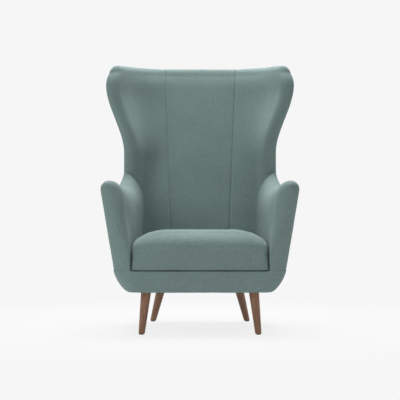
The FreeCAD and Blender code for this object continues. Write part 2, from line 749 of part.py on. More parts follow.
def zip_pieces():
    """Zip tape with its chain across the back of the cushion, and the slider that runs on the chain."""
    z = (BASE_TOP + CUSHION_EDGE_Z - CUSHION_BACK_DROP) / 2
    y = CUSHION_BACK_Y - CUSHION_CORNER + CUSHION_CORNER * math.sin(math.radians(ROLL_TURNS[-1])) + STUD_GAP
    half = ZIP_LENGTH / 2
    tape = box(-half, half, y, y + ZIP_THICK, z - ZIP_TAPE / 2, z + ZIP_TAPE / 2)
    chain_y = y + ZIP_THICK + ZIP_THICK
    tape = tape.fuse(box(-half, half, y, chain_y, z - ZIP_CHAIN / 2, z + ZIP_CHAIN / 2))
    x0 = -half + ZIP_SLIDER_LENGTH
    lip = ZIP_SLIDER_WIDTH / 2
    body_y = y + ZIP_THICK + SEAT_GAP
    body = box(x0, x0 + ZIP_SLIDER_LENGTH, body_y, chain_y + SEAT_GAP + ZIP_SLIDER_THICK, z - lip, z + lip)
    groove = box(x0 - 1, x0 + ZIP_SLIDER_LENGTH + 1, y, chain_y + SEAT_GAP, z - ZIP_CHAIN / 2 - SEAT_GAP,
                 z + ZIP_CHAIN / 2 + SEAT_GAP)
    pull_y = chain_y + SEAT_GAP + ZIP_SLIDER_THICK
    pull = box(x0 + ZIP_SLIDER_LENGTH / 3, x0 + ZIP_SLIDER_LENGTH * 2 / 3, pull_y - ZIP_PULL_SINK,
               pull_y + ZIP_THICK,
               z - ZIP_PULL_LENGTH, z + lip / 2)
    return tape.removeSplitter(), body.cut(groove).fuse(pull).removeSplitter()


# Legs

def leg_axis(top, foot):
    low = V(foot[0], foot[1], 0)
    return low, (V(top[0], top[1], LEG_HEIGHT) - low).normalize()


def leg_parts(top, foot):
    """One leg with its glide, hanger bolt, plate, screws and block, for the right side."""
    low, axis = leg_axis(top, foot)
    length = LEG_HEIGHT / axis.z
    extra = LEG_OVERRUN
    taper = (LEG_TOP_R - LEG_FOOT_R) / length
    cone = Part.makeCone(
        LEG_FOOT_R - taper * extra, LEG_TOP_R + taper * extra, length + 2 * extra, low - axis * extra, axis)
    span = FAR
    slab = box(low.x - span, low.x + span, low.y - span, low.y + span, GLIDE_THICK, LEG_HEIGHT - SEAT_GAP)
    leg = cone.common(slab)
    rim = [e for e in leg.Edges if abs(e.BoundBox.ZMax - GLIDE_THICK) < 0.01 and e.BoundBox.ZLength < 0.01]
    leg = leg.makeFillet(FOOT_CHAMFER, rim)
    head = V(top[0], top[1], LEG_HEIGHT)
    stud_foot = head - axis * STUD_IN_LEG
    stud = Part.makeCylinder(STUD_R, STUD_IN_LEG + STUD_IN_BLOCK, stud_foot, axis)
    bore_length = STUD_IN_LEG + STUD_IN_BLOCK + STUD_GAP * 2
    bore = Part.makeCylinder(STUD_R + STUD_GAP, bore_length, stud_foot - axis * STUD_GAP, axis)
    glide = Part.makeCylinder(GLIDE_R, GLIDE_THICK, low)
    half = PLATE_SIZE / 2
    plate_top = LEG_HEIGHT + PLATE_THICK
    plate = box(head.x - half, head.x + half, head.y - half, head.y + half, LEG_HEIGHT, plate_top)
    reach = SCREW_SPACING / 2
    screws, holes = [], []
    for dx in (-reach, reach):
        for dy in (-reach, reach):
            at = V(head.x + dx, head.y + dy, LEG_HEIGHT)
            shank = Part.makeCylinder(SCREW_R, SCREW_LENGTH, at)
            cap = Part.makeCylinder(SCREW_HEAD_R, SCREW_HEAD, at - V(0, 0, SCREW_HEAD))
            screws.append(shank.fuse(cap).removeSplitter())
            holes.append(Part.makeCylinder(SCREW_R + STUD_GAP, SCREW_LENGTH + STUD_GAP, at))
    cuts = Part.makeCompound(holes + [bore])
    return leg.cut(bore), glide, stud, plate.cut(cuts), screws, cuts, head, plate_top


def leg_block(head, plate_top, cuts, against_front):
    """The hardwood block that takes the leg, glued against the front or rear rail."""
    x0, x1 = head.x - LEG_BLOCK_X / 2, head.x + LEG_BLOCK_X / 2
    x1 = min(x1, SIDE_RAIL_X - RAIL_THICK)
    if against_front:
        y0 = FRONT_RAIL_Y + RAIL_THICK
        block = box(x0, x1, y0, y0 + LEG_BLOCK_Y, plate_top, LEG_BLOCK_TOP)
    else:
        y1 = REAR_RAIL_Y - RAIL_THICK
        block = box(x0, rear_block_side(), y1 - LEG_BLOCK_Y, y1, plate_top, LEG_BLOCK_TOP)
    return block.cut(cuts)


def build_legs():
    glides, studs, plates, screws, blocks, room = [], [], [], [], [], []
    for place, top, foot in (("front", FRONT_LEG_TOP, FRONT_LEG_FOOT), ("rear", REAR_LEG_TOP, REAR_LEG_FOOT)):
        leg, glide, stud, plate, pins, cuts, head, plate_top = leg_parts(top, foot)
        block = leg_block(head, plate_top, cuts, place == "front")
        save(place + "_right_leg", leg)
        save(place + "_left_leg", mirrored(leg))
        for group, piece in ((glides, glide), (studs, stud), (plates, plate), (blocks, block)):
            group += [piece, mirrored(piece)]
        screws += pins + [mirrored(s) for s in pins]
        room += [plate, mirrored(plate), cuts, mirrored(cuts)]
        half = PLATE_SIZE / 2 + SEAT_GAP
        hole = box(head.x - half, head.x + half, head.y - half, head.y + half, LEG_HEIGHT - CUT_RUN,
                   LEG_HEIGHT + CUT_RUN)
        room += [hole, mirrored(hole)]
    save("foot_glides", *glides)
    save("leg_bolts", *studs)
    save("leg_plates", *plates)
    save("plate_screws", *screws)
    save("leg_blocks", *blocks)
    return Part.makeCompound(room)


# Assembly

def build_frame():
    front, rear, side = seat_rails()
    save("front_seat_rail", front)
    save("rear_seat_rail", rear)
    save_pair("seat_rail", side)
    save("corner_blocks", *both(corner_block()))
    save_pair("back_post", back_post())
    save("crest_rail", crest_rail())
    save("lumbar_rail", lumbar_rail())
    save_pair("wing_frame", wing_frame())
    save_pair("arm_post", arm_post())
    save_pair("arm_rail", arm_rail())
    save("back_webbing", *back_webbing())


def both(shape):
    return [shape, mirrored(shape)]


def frame_cutter():
    pieces = [crest_rail(), frame_void()]
    pieces += both(wing_frame()) + both(arm_rail()) + both(back_post()) + both(arm_post())
    return Part.makeCompound(pieces)


def seam_zone(z0, z1):
    """The middle third of the inside back, between its two upright seams."""
    def seam_x(z):
        return mix(SEAM_SEAT_X, SEAM_TOP_X, (z - SEAM_SEAT_Z) / (BACK_TOP - SEAM_SEAT_Z))
    wide = 2 * BACK_TOP
    foot, top = seam_x(z0), seam_x(z1)
    return leaning_box((-foot, foot, -wide, wide), (-top, top, -wide, wide), z0, z1)


def build_back():
    cutter = frame_cutter()
    cover = back_shell(0.0).cut(back_shell(COVER, BASE_TOP - 1.0)).cut(Part.makeCompound(both(arm_rail())))
    rear_zone = outside_back_zone()
    save("outside_back_cover", cover.common(rear_zone))
    inside = cover.cut(rear_zone)
    middle = seam_zone(BASE_TOP - CUT_RUN, BACK_TOP + CUT_RUN)
    save("inside_back_centre_panel", inside.common(middle))
    sides = inside.cut(middle)
    right_side = box(0, FAR, -FAR, FAR, 0, 2 * BACK_TOP)
    save_pair("inside_back_panel", sides.common(right_side))
    foam = back_shell(COVER + SKIN_GAP).cut(cutter)
    wing_zone = raked_box(outside_post, FAR, -FAR, BASE_TOP - CUT_RUN, BACK_TOP + CUT_RUN)
    save_pair("wing_foam", foam.common(wing_zone))
    core = foam.cut(Part.makeCompound(both(wing_zone)))
    split = POST_BACK_INSET + CREST_DEPTH / 2
    wide = 2 * BACK_TOP
    rear_half = raked_box(lambda z: (-wide, wide), split, -wide, BASE_TOP - CUT_RUN, BACK_TOP + CUT_RUN)
    save("inside_back_foam", core.cut(rear_half))
    save("outside_back_wadding", core.common(rear_half))


def outside_arm_zone():
    """The flat outer side of the right arm, from the base up to the seam below its rounded top."""
    wires = []
    start = ARM_FRONT_Y + ARM_FRONT_DEPTH
    for t in ARM_STATIONS + [1.0]:
        y = mix(ARM_BURIED_Y, start, t)
        lean = arm_lean(y)
        along = V(lean, 0, 1).normalize()
        out = V(along.z, 0, -along.x)
        foot = V(arm_outer_x(y), y, BASE_TOP) - along * OUTSIDE_REACH
        rise = arm_top_z(y) - arm_nose_r(y)[0] - EDGE_SEAM_DEPTH - BASE_TOP
        top = V(arm_outer_x(y) + lean * rise, y, BASE_TOP + rise)
        corners = [foot - out * EDGE_SEAM_DEPTH, foot + out * OUTSIDE_REACH]
        corners += [top + out * OUTSIDE_REACH, top - out * EDGE_SEAM_DEPTH]
        wires.append(Part.makePolygon(corners + corners[:1]))
    return loft(wires)


def behind_wing_edge():
    """Everything outside and behind the middle of the right wing's edge, where the arm must not show."""
    wires = []
    for t in BACK_LEVELS[:6]:
        z = mix(BASE_TOP, BACK_TOP, t)
        x, y = wing_half_width(z) - wing_nose_r(z), wing_front_y(z) + wing_nose_r(z)
        wires.append(rectangle(x, 2 * WING_HALF_WIDTH, y, BACK_TOP, z - CUT_RUN * (1.0 - t)))
    return loft(wires, True)


def build_arms():
    back = Part.makeCompound([back_shell(-ARM_BACK_GAP, BASE_TOP - CUT_RUN), behind_wing_edge()])
    frame = Part.makeCompound([arm_post(), arm_rail()])
    sleeve = arm_shell(0.0).cut(arm_shell(COVER, BASE_TOP - CUT_RUN)).cut(back).cut(frame)
    outer_zone = outside_arm_zone()
    save_pair("outside_arm_cover", sleeve.common(outer_zone))
    save_pair("inside_arm_cover", sleeve.cut(outer_zone))
    save_pair("arm_foam", arm_shell(COVER + SKIN_GAP).cut(back).cut(frame))


def build_base(leg_room):
    posts = Part.makeCompound(both(back_post()) + both(arm_post()))
    opening = Part.Face(base_section(LEG_HEIGHT, BASE_MARGIN))
    mouth = opening.extrude(V(0, 0, RAIL_BOTTOM - LEG_HEIGHT))
    cover = base_shell(0.0, LEG_HEIGHT, BASE_TOP).cut(base_shell(COVER, LEG_HEIGHT + COVER, BASE_TOP + 1.0))
    save("base_band_cover", cover.cut(mouth).cut(leg_room))
    sheet = opening.extrude(V(0, 0, DUST_SHEET))
    sheet.translate(V(0, 0, COVER - DUST_SHEET))
    save("dust_cover", sheet.cut(leg_room))
    padding = base_shell(COVER + SKIN_GAP, LEG_HEIGHT + COVER + SKIN_GAP, BASE_TOP - SEAT_GAP)
    save("base_padding", padding.cut(frame_outline()).cut(posts).cut(leg_room))


def build_seat():
    springs, clips, wire_top = seat_suspension()
    save("seat_springs", *springs)
    save("spring_clips", *clips)
    y0, y1 = FRONT_RAIL_Y, REAR_RAIL_Y - RAIL_THICK
    z = wire_top + STUD_GAP
    posts = Part.makeCompound(both(back_post()))
    inside = frame_outline()
    for name, thick in (("hessian_sheet", HESSIAN), ("deck_pad", DECK_PAD)):
        layer = box(-DECK_HALF_WIDTH, DECK_HALF_WIDTH, y0, y1, z, z + thick)
        save(name, layer.common(inside).cut(posts))
        z += thick + STUD_GAP
    layer = box(-DECK_HALF_WIDTH, DECK_HALF_WIDTH, y0, y1, z, BASE_TOP - STUD_GAP)
    save("deck_cover", layer.common(inside).cut(posts))


def build_cushion():
    outer = cushion_shell(0.0)
    save("cushion_cover", outer.cut(cushion_shell(COVER)))
    save("cushion_core", cushion_shell(COVER + SKIN_GAP))
    tape, slider = zip_pieces()
    save("zip_tape", tape)
    save("zip_slider", slider)


def main():
    os.makedirs(OUT, exist_ok=True)
    leg_room = build_legs()
    build_frame()
    build_back()
    build_arms()
    build_base(leg_room)
    build_seat()
    build_cushion()


main()
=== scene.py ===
import json
from math import atan, copysign, cos, exp, hypot, pi, radians, sin, sqrt

import bmesh
import bpy
import numpy as np
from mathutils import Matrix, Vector, noise


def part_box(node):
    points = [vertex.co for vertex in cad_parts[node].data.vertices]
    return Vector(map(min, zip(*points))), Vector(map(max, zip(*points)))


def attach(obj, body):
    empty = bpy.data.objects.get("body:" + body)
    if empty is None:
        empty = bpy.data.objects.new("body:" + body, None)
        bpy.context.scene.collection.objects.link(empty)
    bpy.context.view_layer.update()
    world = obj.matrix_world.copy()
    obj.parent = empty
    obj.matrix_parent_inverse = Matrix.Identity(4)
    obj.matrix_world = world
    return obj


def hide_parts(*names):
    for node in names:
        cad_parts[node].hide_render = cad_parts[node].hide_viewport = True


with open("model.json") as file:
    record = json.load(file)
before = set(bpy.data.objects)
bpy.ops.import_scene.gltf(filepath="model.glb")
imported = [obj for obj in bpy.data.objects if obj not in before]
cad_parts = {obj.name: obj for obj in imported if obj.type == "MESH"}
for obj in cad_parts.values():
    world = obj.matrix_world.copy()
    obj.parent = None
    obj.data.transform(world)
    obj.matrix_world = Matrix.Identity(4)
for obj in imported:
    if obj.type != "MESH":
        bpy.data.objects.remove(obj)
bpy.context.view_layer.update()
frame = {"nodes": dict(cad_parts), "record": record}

# Upholstered wing armchair, metres, +Z up, front facing -Y. "left" is -X, as seen from the front.

# Heights and depths of the main forms
BASE_TOP = 0.250
BASE_BOTTOM = 0.1665
BACK_TOP = 1.094
TOP_ROLL_R = 0.030
ROLL_Z = BACK_TOP - TOP_ROLL_R
WAIST_Z = 0.700
WING_Z = 0.992
BACK_FOOT_Y = 0.253
BACK_RAKE = 0.19

# Back shell with wings, by height
BACK_FOOT_HALF_WIDTH = 0.327
WAIST_HALF_WIDTH = 0.321
WING_START_Z = 0.718
WING_FULL_Z = 1.010
WING_HALF_WIDTH = 0.397
WING_TOP_HALF_WIDTH = 0.390
BACK_FOOT_THICK = 0.155
BACK_TOP_THICK = 0.063
WING_FOOT_Y = 0.060
WING_WAIST_Y = 0.120
WING_FRONT_Y = 0.114
WING_TOP_Y = 0.138
NOSE_FOOT_R = 0.035
NOSE_TOP_R = 0.031
FOOT_FLARE = radians(70)
WING_FLARE = radians(61)
WING_BEND_SHARE = 0.6
SEAM_TOP_X = 0.155
SEAM_SEAT_X = 0.1245
SEAM_SEAT_Z = 0.400
EDGE_SEAM_TURN = radians(24)
FRONT_ROLL_HEIGHT = 0.085
CORNER_REACH = 0.090
CORNER_PULL = 0.0075

# Arms
ARM_NOSE_Z = 0.593
ARM_DIP_Z = 0.571
ARM_BACK_Z = 0.631
ARM_INNER_FRONT_X = 0.2685
ARM_INNER_BACK_X = 0.242
ARM_OUTER_FRONT_X = 0.332
ARM_OUTER_BACK_X = 0.325
ARM_LEAN = 0.167
ARM_LEAN_BACK = -0.008
ARM_LEAN_POWER = 1.25
ARM_FRONT_Y = -0.408
ARM_BACK_Y = 0.120
ARM_BURIED_Y = 0.168
ARM_DIP_Y = -0.150
ARM_NOSE_Y = -0.360
ARM_NOSE_OUTER_FRONT_R = 0.034
ARM_NOSE_OUTER_BACK_R = 0.010
ARM_SLOPE_FRONT_HEIGHT = 0.205
ARM_SLOPE_BACK_HEIGHT = 0.170
ARM_SLOPE_FRONT_POWER = 2.04
ARM_SLOPE_BACK_POWER = 2.0
ARM_SLOPE_MID_DROP = 0.080
ARM_SLOPE_MID_POWER = 0.6
ARM_FLARE = 0.017
ARM_FLARE_REACH = 0.110
ARM_FLARE_LOW_Z = 0.330
ARM_ROUND_Y = -0.366
ARM_FRONT_DROP = 0.026
ARM_SPINE_SHARE = 0.46
ARM_SPINE_FOOT_SHARE = 0.06
ARM_SPINE_LOW_Z = 0.270
ARM_SPINE_HIGH_Z = 0.440
ARM_SEAM_SHARE = 0.93
ARM_TUCK_IN = 0.006

# Base band round the seat frame
BASE_HULL_INSET = 0.044
BASE_HULL_POWER = 1.6
BASE_EDGE_INSET = 0.012
BASE_MARGIN = 0.022
BASE_LAP = 0.0015
BASE_FRONT_SINK = 0.0030
BASE_FRONT_FALL = 0.0020

# Seat cushion
CUSHION_GAP = 0.0022
CUSHION_FRONT_Y = -0.404
CUSHION_BACK_Y = 0.092
CUSHION_EDGE_Z = 0.328
CUSHION_CROWN = 0.0675
CUSHION_SIDE_LIFT = 0.30
CUSHION_CORNER_R = 0.014
CUSHION_FRONT_ROLL = 0.078
CUSHION_SIDE_ROLL = 0.115
CUSHION_BACK_ROLL = 0.060
CUSHION_BOTTOM_R = 0.002
CUSHION_START_INSET = 0.0035
CUSHION_FOOT_R = 0.004
CUSHION_SOFT_STOP = 0.002
CUSHION_SWELL_CAP = 0.004
CUSHION_FRAMES = 20
CUSHION_PRESSURE = 4.0
CUSHION_VOXEL = 0.0045
PUCKER_Z = 0.314
PUCKER_DEPTH = 0.0055
PUCKER_HEIGHT = 0.004
PUCKER_REACH = 0.016

# Cloth thickness, seams and the small unevenness of stretched cloth
CLOTH = 0.0024
SEAM_DEPTH = 0.0032
SEAM_WIDTH = 0.0030
PANEL_SWELL = 0.0015
SWELL_REACH = 0.040
RIPPLE_HEIGHT = 0.0006
RIPPLE_SCALE = 14.0
RIPPLE_FINE_SHARE = 0.5
RIPPLE_FINE_SCALE = 2.7
SEAMLESS = 10 * SWELL_REACH
SEAM_STEPS = (0.0, 0.0011, 0.0023, 0.0038, 0.0062, 0.0105, 0.0170)
WELD = 0.00002
TINY = 1e-6


def mix(a, b, t):
    return a + (b - a) * t


def clamp(t):
    return np.clip(t, 0.0, 1.0)


def ease(t):
    t = clamp(t)
    return t * t * (3.0 - 2.0 * t)


def edge_roll(distance, roll):
    """Share of a quarter-round's height at a distance in from its edge."""
    left = clamp(1.0 - distance / roll)
    return sqrt(1.0 - left * left)


def grid(rows, places, point):
    """Rows of points, each made by point(row, place)."""
    return np.array([[point(row, place) for place in places] for row in rows])


def columns(length, count, sewn_end):
    """Places along a length, closer together at its start and, if that is sewn, at its end."""
    end = SEAM_STEPS if sewn_end else SEAM_STEPS[:1]
    middle = np.linspace(SEAM_STEPS[-1], length - end[-1], count)
    return np.concatenate([SEAM_STEPS[:-1], middle, [length - place for place in reversed(end[:-1])]])


# Materials

def new_material(name):
    material = bpy.data.materials.new(name)
    material.use_nodes = True
    tree = material.node_tree
    return material, tree, tree.nodes["Principled BSDF"]


def set_inputs(made, **inputs):
    """Sets a node's sockets by name, with _ for each space."""
    for name, value in inputs.items():
        made.inputs[name.replace("_", " ")].default_value = value


def node(tree, kind, **inputs):
    made = tree.nodes.new(kind)
    set_inputs(made, **inputs)
    return made


def math_node(tree, operation, *values):
    made = tree.nodes.new("ShaderNodeMath")
    made.operation = operation
    for socket, value in zip(made.inputs, values):
        if isinstance(value, (int, float)):
            socket.default_value = value
        else:
            tree.links.new(value, socket)
    return made.outputs[0]


def weighted(tree, *parts):
    """Sum of values, each times its weight."""
    total = 0.0
    for value, weight in parts:
        total = math_node(tree, "MULTIPLY_ADD", value, weight, total)
    return total


def weave_height(tree, pitch):
    """Height of a plain weave with threads along the three axes, picked by the way the cloth faces."""
    place = tree.nodes.new("ShaderNodeTexCoord")
    split, facing = (tree.nodes.new("ShaderNodeSeparateXYZ") for _ in range(2))
    tree.links.new(place.outputs["Object"], split.inputs[0])
    tree.links.new(place.outputs["Normal"], facing.inputs[0])
    waves = []
    weights = []
    for axis in "XYZ":
        angle = math_node(tree, "MULTIPLY", split.outputs[axis], 2 * pi / pitch)
        waves.append(math_node(tree, "SINE", angle))
        size = math_node(tree, "ABSOLUTE", facing.outputs[axis])
        weights.append(math_node(tree, "POWER", size, FACING_POWER))
    crossings = [math_node(tree, "MULTIPLY", waves[axis - 2], waves[axis - 1]) for axis in range(3)]
    return weighted(tree, *zip(crossings, weights))


def object_place(tree):
    return tree.nodes.new("ShaderNodeTexCoord").outputs["Object"]


def noise_node(tree, place, **inputs):
    made = node(tree, "ShaderNodeTexNoise", **inputs)
    tree.links.new(place, made.inputs["Vector"])
    return made.outputs["Fac"]


def dress_shader(tree, shader, factor, stops, height, bump, **inputs):
    """Gives a shader a ramp of two colours, a bump and plain inputs."""
    ramp = tree.nodes.new("ShaderNodeValToRGB")
    for element, (place, colour) in zip(ramp.color_ramp.elements, stops):
        element.position = place
        element.color = (*colour, 1.0)
    tree.links.new(factor, ramp.inputs["Fac"])
    tree.links.new(ramp.outputs["Color"], shader.inputs["Base Color"])
    relief_node = node(tree, "ShaderNodeBump", Strength=bump[0], Distance=bump[1])
    tree.links.new(height, relief_node.inputs["Height"])
    tree.links.new(relief_node.outputs["Normal"], shader.inputs["Normal"])
    set_inputs(shader, **inputs)


def scaled(colour, factor):
    return tuple(channel * factor for channel in colour)


def shades(colour, ramp):
    return [(place, scaled(colour, brightness)) for place, brightness in ramp]


FLECK_SCALE = 620.0
SLUB_SCALE = 210.0
NAP_SCALE = 9.0
FACING_POWER = 3.0
GRAIN_STRETCH = (1.0, 1.0, 0.045)

# Ramps: places on a noise and the brightness there. Bumps: strength and distance.
CLOTH_RAMP = ((0.34, 0.78), (0.66, 1.24))
SPECKLE_RAMP = ((0.25, 0.82), (0.75, 1.15))
TIMBER_RAMP = (0.36, 0.64)
CLOTH_BUMP = (0.45, 0.0005)
TIMBER_BUMP = (0.12, 0.0004)
SPECKLE_BUMP_DISTANCE = 0.0004


def cloth_material(name, colour, sheen, pitch):
    """Woven cloth: threads, flecked yarn, soft nap shading and a fibre sheen."""
    material, tree, shader = new_material(name)
    weave = weave_height(tree, pitch)
    place = object_place(tree)
    fleck, slub, nap = (noise_node(tree, place, Scale=scale, Detail=2.0)
                        for scale in (FLECK_SCALE, SLUB_SCALE, NAP_SCALE))
    total = weighted(tree, (weave, 0.06), (fleck, 0.42), (slub, 0.46), (nap, 0.12))
    height = weighted(tree, (weave, 1.0), (fleck, 0.8))
    dress_shader(tree, shader, total, shades(colour, CLOTH_RAMP), height, CLOTH_BUMP,
                 Roughness=0.92, Specular_IOR_Level=0.22, Sheen_Weight=sheen, Sheen_Roughness=0.45,
                 Sheen_Tint=(0.86, 0.95, 0.93, 1.0))
    return material


def wood_material(name, dark, light, roughness):
    """Timber with its grain along Z."""
    material, tree, shader = new_material(name)
    stretch = node(tree, "ShaderNodeMapping", Scale=GRAIN_STRETCH)
    tree.links.new(object_place(tree), stretch.inputs["Vector"])
    place = stretch.outputs["Vector"]
    grain = noise_node(tree, place, Scale=190.0, Detail=6.0, Roughness=0.62, Distortion=0.4)
    pores = noise_node(tree, place, Scale=900.0, Detail=2.0)
    total = weighted(tree, (grain, 0.8), (pores, 0.2))
    stops = zip(TIMBER_RAMP, (dark, light))
    dress_shader(tree, shader, total, stops, total, TIMBER_BUMP, Roughness=roughness)
    return material


def speckled_material(name, colour, scale, roughness, metallic=0.0, bump=0.1):
    """Foam, felt, plastic or metal: one colour broken up by fine grain."""
    material, tree, shader = new_material(name)
    grain = noise_node(tree, object_place(tree), Scale=scale, Detail=4.0)
    dress_shader(tree, shader, grain, shades(colour, SPECKLE_RAMP), grain, (bump, SPECKLE_BUMP_DISTANCE),
                 Roughness=roughness, Metallic=metallic)
    return material


# The record's material slots. Cloth: colour, sheen and thread pitch. Timber: dark and light grain, roughness.
# Anything else: colour, scale of its grain, roughness, metallic and bump.
SAGE = (0.158, 0.222, 0.213)
CLOTHS = {
    "sage_fabric": (SAGE, 0.12, 0.0022),
    "hessian": ((0.36, 0.26, 0.15), 0.0, 0.0045),
    "lining": ((0.055, 0.055, 0.06), 0.1, 0.0016),
    "webbing": ((0.05, 0.05, 0.05), 0.0, 0.003),
    "zip_tape": (scaled(SAGE, 0.7), 0.1, 0.0012),
}
TIMBERS = {
    "walnut": ((0.125, 0.052, 0.026), (0.33, 0.165, 0.090), 0.45),
    "frame_timber": ((0.42, 0.28, 0.15), (0.66, 0.50, 0.32), 0.7),
    "plywood": ((0.50, 0.36, 0.22), (0.70, 0.55, 0.36), 0.7),
}
SPECKLED = {
    "foam": ((0.72, 0.66, 0.48), 700.0, 0.95, 0.0, 0.4),
    "wadding": ((0.80, 0.80, 0.77), 260.0, 1.0, 0.0, 0.6),
    "spring_steel": ((0.42, 0.42, 0.44), 300.0, 0.35, 1.0),
    "clip_plastic": ((0.70, 0.70, 0.68), 500.0, 0.5),
    "zinc_steel": ((0.62, 0.63, 0.65), 260.0, 0.32, 1.0),
    "glide_plastic": ((0.05, 0.045, 0.04), 500.0, 0.5),
    "zip_metal": ((0.55, 0.53, 0.48), 400.0, 0.3, 1.0),
}


def slot_materials():
    made = {}
    for make, looks in ((cloth_material, CLOTHS), (wood_material, TIMBERS), (speckled_material, SPECKLED)):
        for name, look in looks.items():
            made[name] = make(name, *look)
    return made


MATERIALS = slot_materials()


def dress_frame():
    """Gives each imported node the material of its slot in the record."""
    slots = {entry["node"]: entry["material_slot"] for entry in frame["record"]["subparts"]}
    for name, piece in frame["nodes"].items():
        piece.data.materials.clear()
        piece.data.materials.append(MATERIALS[slots[name]])


# The back shell: plan section by height

HALVINGS = 40


def back_rear_y(z):
    return BACK_FOOT_Y + (z - BASE_TOP) * BACK_RAKE


def back_face_y(z):
    return back_rear_y(z) - mix(BACK_FOOT_THICK, BACK_TOP_THICK, (z - BASE_TOP) / (ROLL_Z - BASE_TOP))


def wing_half_width(z):
    if z < WING_START_Z:
        return mix(BACK_FOOT_HALF_WIDTH, WAIST_HALF_WIDTH, ease((z - BASE_TOP) / (WING_START_Z - BASE_TOP)))
    if z < WING_FULL_Z:
        share = (z - WING_START_Z) / (WING_FULL_Z - WING_START_Z)
        return mix(WAIST_HALF_WIDTH, WING_HALF_WIDTH, ease(share))
    return mix(WING_HALF_WIDTH, WING_TOP_HALF_WIDTH, ((z - WING_FULL_Z) / (ROLL_Z - WING_FULL_Z)) ** 2)


def wing_front_y(z):
    if z < WAIST_Z:
        share = sin(pi / 2 * clamp((z - BASE_TOP) / (WAIST_Z - BASE_TOP)))
        return mix(WING_FOOT_Y, WING_WAIST_Y, share)
    if z < WING_Z:
        return mix(WING_WAIST_Y, WING_FRONT_Y, ease((z - WAIST_Z) / (WING_Z - WAIST_Z)))
    return mix(WING_FRONT_Y, WING_TOP_Y, ((z - WING_Z) / (ROLL_Z - WING_Z)) ** 2)


class Face:
    """One face of the back's plan section, out from the middle: flat, bend, and straight to the nose."""

    def __init__(self, flare, y, end):
        self.y = y
        self.end = end
        self.along = np.array([cos(flare), -sin(flare)])
        depth = y - end[1]
        self.radius = WING_BEND_SHARE * depth / (1.0 - cos(flare))
        straight = (depth - self.radius * (1.0 - cos(flare))) / sin(flare)
        flat = (end - self.along * straight)[0] - self.radius * sin(flare)
        self.lengths = (flat, self.radius * flare, straight)
        self.length = sum(self.lengths)

    def point(self, distance):
        flat, bend, _ = self.lengths
        if distance <= flat:
            return np.array([distance, self.y])
        if distance <= flat + bend:
            turn = (distance - flat) / self.radius
            return np.array([flat + self.radius * sin(turn), self.y - self.radius * (1.0 - cos(turn))])
        return self.end - self.along * (self.length - distance)

    def distance_at(self, x):
        """How far along the face a width x from the middle lies."""
        low = 0.0
        high = self.length
        for _ in range(HALVINGS):
            middle = (low + high) / 2
            if self.point(middle)[0] < x:
                low = middle
            else:
                high = middle
        return low


class BackSection:
    """Right half of the back's plan section: inner face, wing nose and outer face."""

    def __init__(self, z):
        self.z = z
        self.nose_r = mix(NOSE_FOOT_R, NOSE_TOP_R, ease((z - BASE_TOP) / (BACK_TOP - BASE_TOP)))
        flare = mix(FOOT_FLARE, WING_FLARE, ease((z - BASE_TOP) / (WING_Z - BASE_TOP)))
        self.centre = np.array([wing_half_width(z) - self.nose_r, wing_front_y(z) + self.nose_r])
        self.outward = np.array([sin(flare), cos(flare)])
        self.inner = Face(flare, back_face_y(z), self.centre - self.nose_r * self.outward)
        self.outer = Face(flare, back_rear_y(z), self.centre + self.nose_r * self.outward)

    def nose_point(self, turn):
        return self.centre + self.nose_r * (sin(turn) * self.inner.along - cos(turn) * self.outward)

    def across(self, distance):
        """The outer face's point behind a point of the inner face."""
        passed = [np.cumsum([0.0, *face.lengths]) for face in (self.inner, self.outer)]
        return self.outer.point(np.interp(distance, *passed))

    def front_y(self, x):
        """Depth of the shell's front surface at a width x from the middle."""
        if x <= self.inner.end[0]:
            return self.inner.point(self.inner.distance_at(x))[1]
        reach = min(abs(x - self.centre[0]), self.nose_r)
        return self.centre[1] - sqrt(self.nose_r ** 2 - reach ** 2)


def top_lean(z):
    """How much softer than its rear the front of the back's top edge is rounded."""
    down = BACK_TOP - z
    return BACK_TOP_THICK / 2 * (edge_roll(down, TOP_ROLL_R) - edge_roll(down, FRONT_ROLL_HEIGHT))


def rounded_corners(points):
    """Draws the two top corners of the wings in to a larger round."""
    out = (np.abs(points[..., 0]) - WING_HALF_WIDTH) / CORNER_REACH + 1.0
    up = (points[..., 2] - BACK_TOP) / CORNER_REACH + 1.0
    pull = CORNER_PULL * ease(out) * ease(up)
    moved = points.copy()
    moved[..., 0] -= np.sign(points[..., 0]) * pull
    moved[..., 2] -= pull
    return moved


def seam_x(z):
    return mix(SEAM_SEAT_X, SEAM_TOP_X, (z - SEAM_SEAT_Z) / (BACK_TOP - SEAM_SEAT_Z))


# Cloth panels: grids of points welded into one mesh, with grooves along the sewn edges

def ripple(place):
    wide = noise.noise(place * RIPPLE_SCALE)
    fine = noise.noise(place * RIPPLE_SCALE * RIPPLE_FINE_SCALE)
    return RIPPLE_HEIGHT * (wide + RIPPLE_FINE_SHARE * fine)


def relief(place, seam_distance, swell, depth):
    groove = depth * exp(-((seam_distance / SEAM_WIDTH) ** 2))
    return swell * (1.0 - exp(-seam_distance / SWELL_REACH)) - groove + ripple(place)


def mirrored(patches):
    flip = np.array([-1.0, 1.0, 1.0])
    return [(points * flip, distance, not flipped) for points, distance, flipped in patches]


def seamless(points, flipped=False):
    """Points as a patch with no seam near it."""
    return points, np.full(points.shape[:2], SEAMLESS), flipped


def add_patch(bm, layer, patch):
    points, distances, flipped = patch
    lines = []
    for places, seams in zip(points, distances):
        lines.append([bm.verts.new(place) for place in places])
        for vert, seam in zip(lines[-1], seams):
            vert[layer] = seam
    for low, high in zip(lines, lines[1:]):
        for column in range(len(low) - 1):
            quad = [low[column], low[column + 1], high[column + 1], high[column]]
            bm.faces.new(quad[::-1] if flipped else quad)


def link(name, data):
    made = bpy.data.objects.new(name, data)
    bpy.context.scene.collection.objects.link(made)
    return made


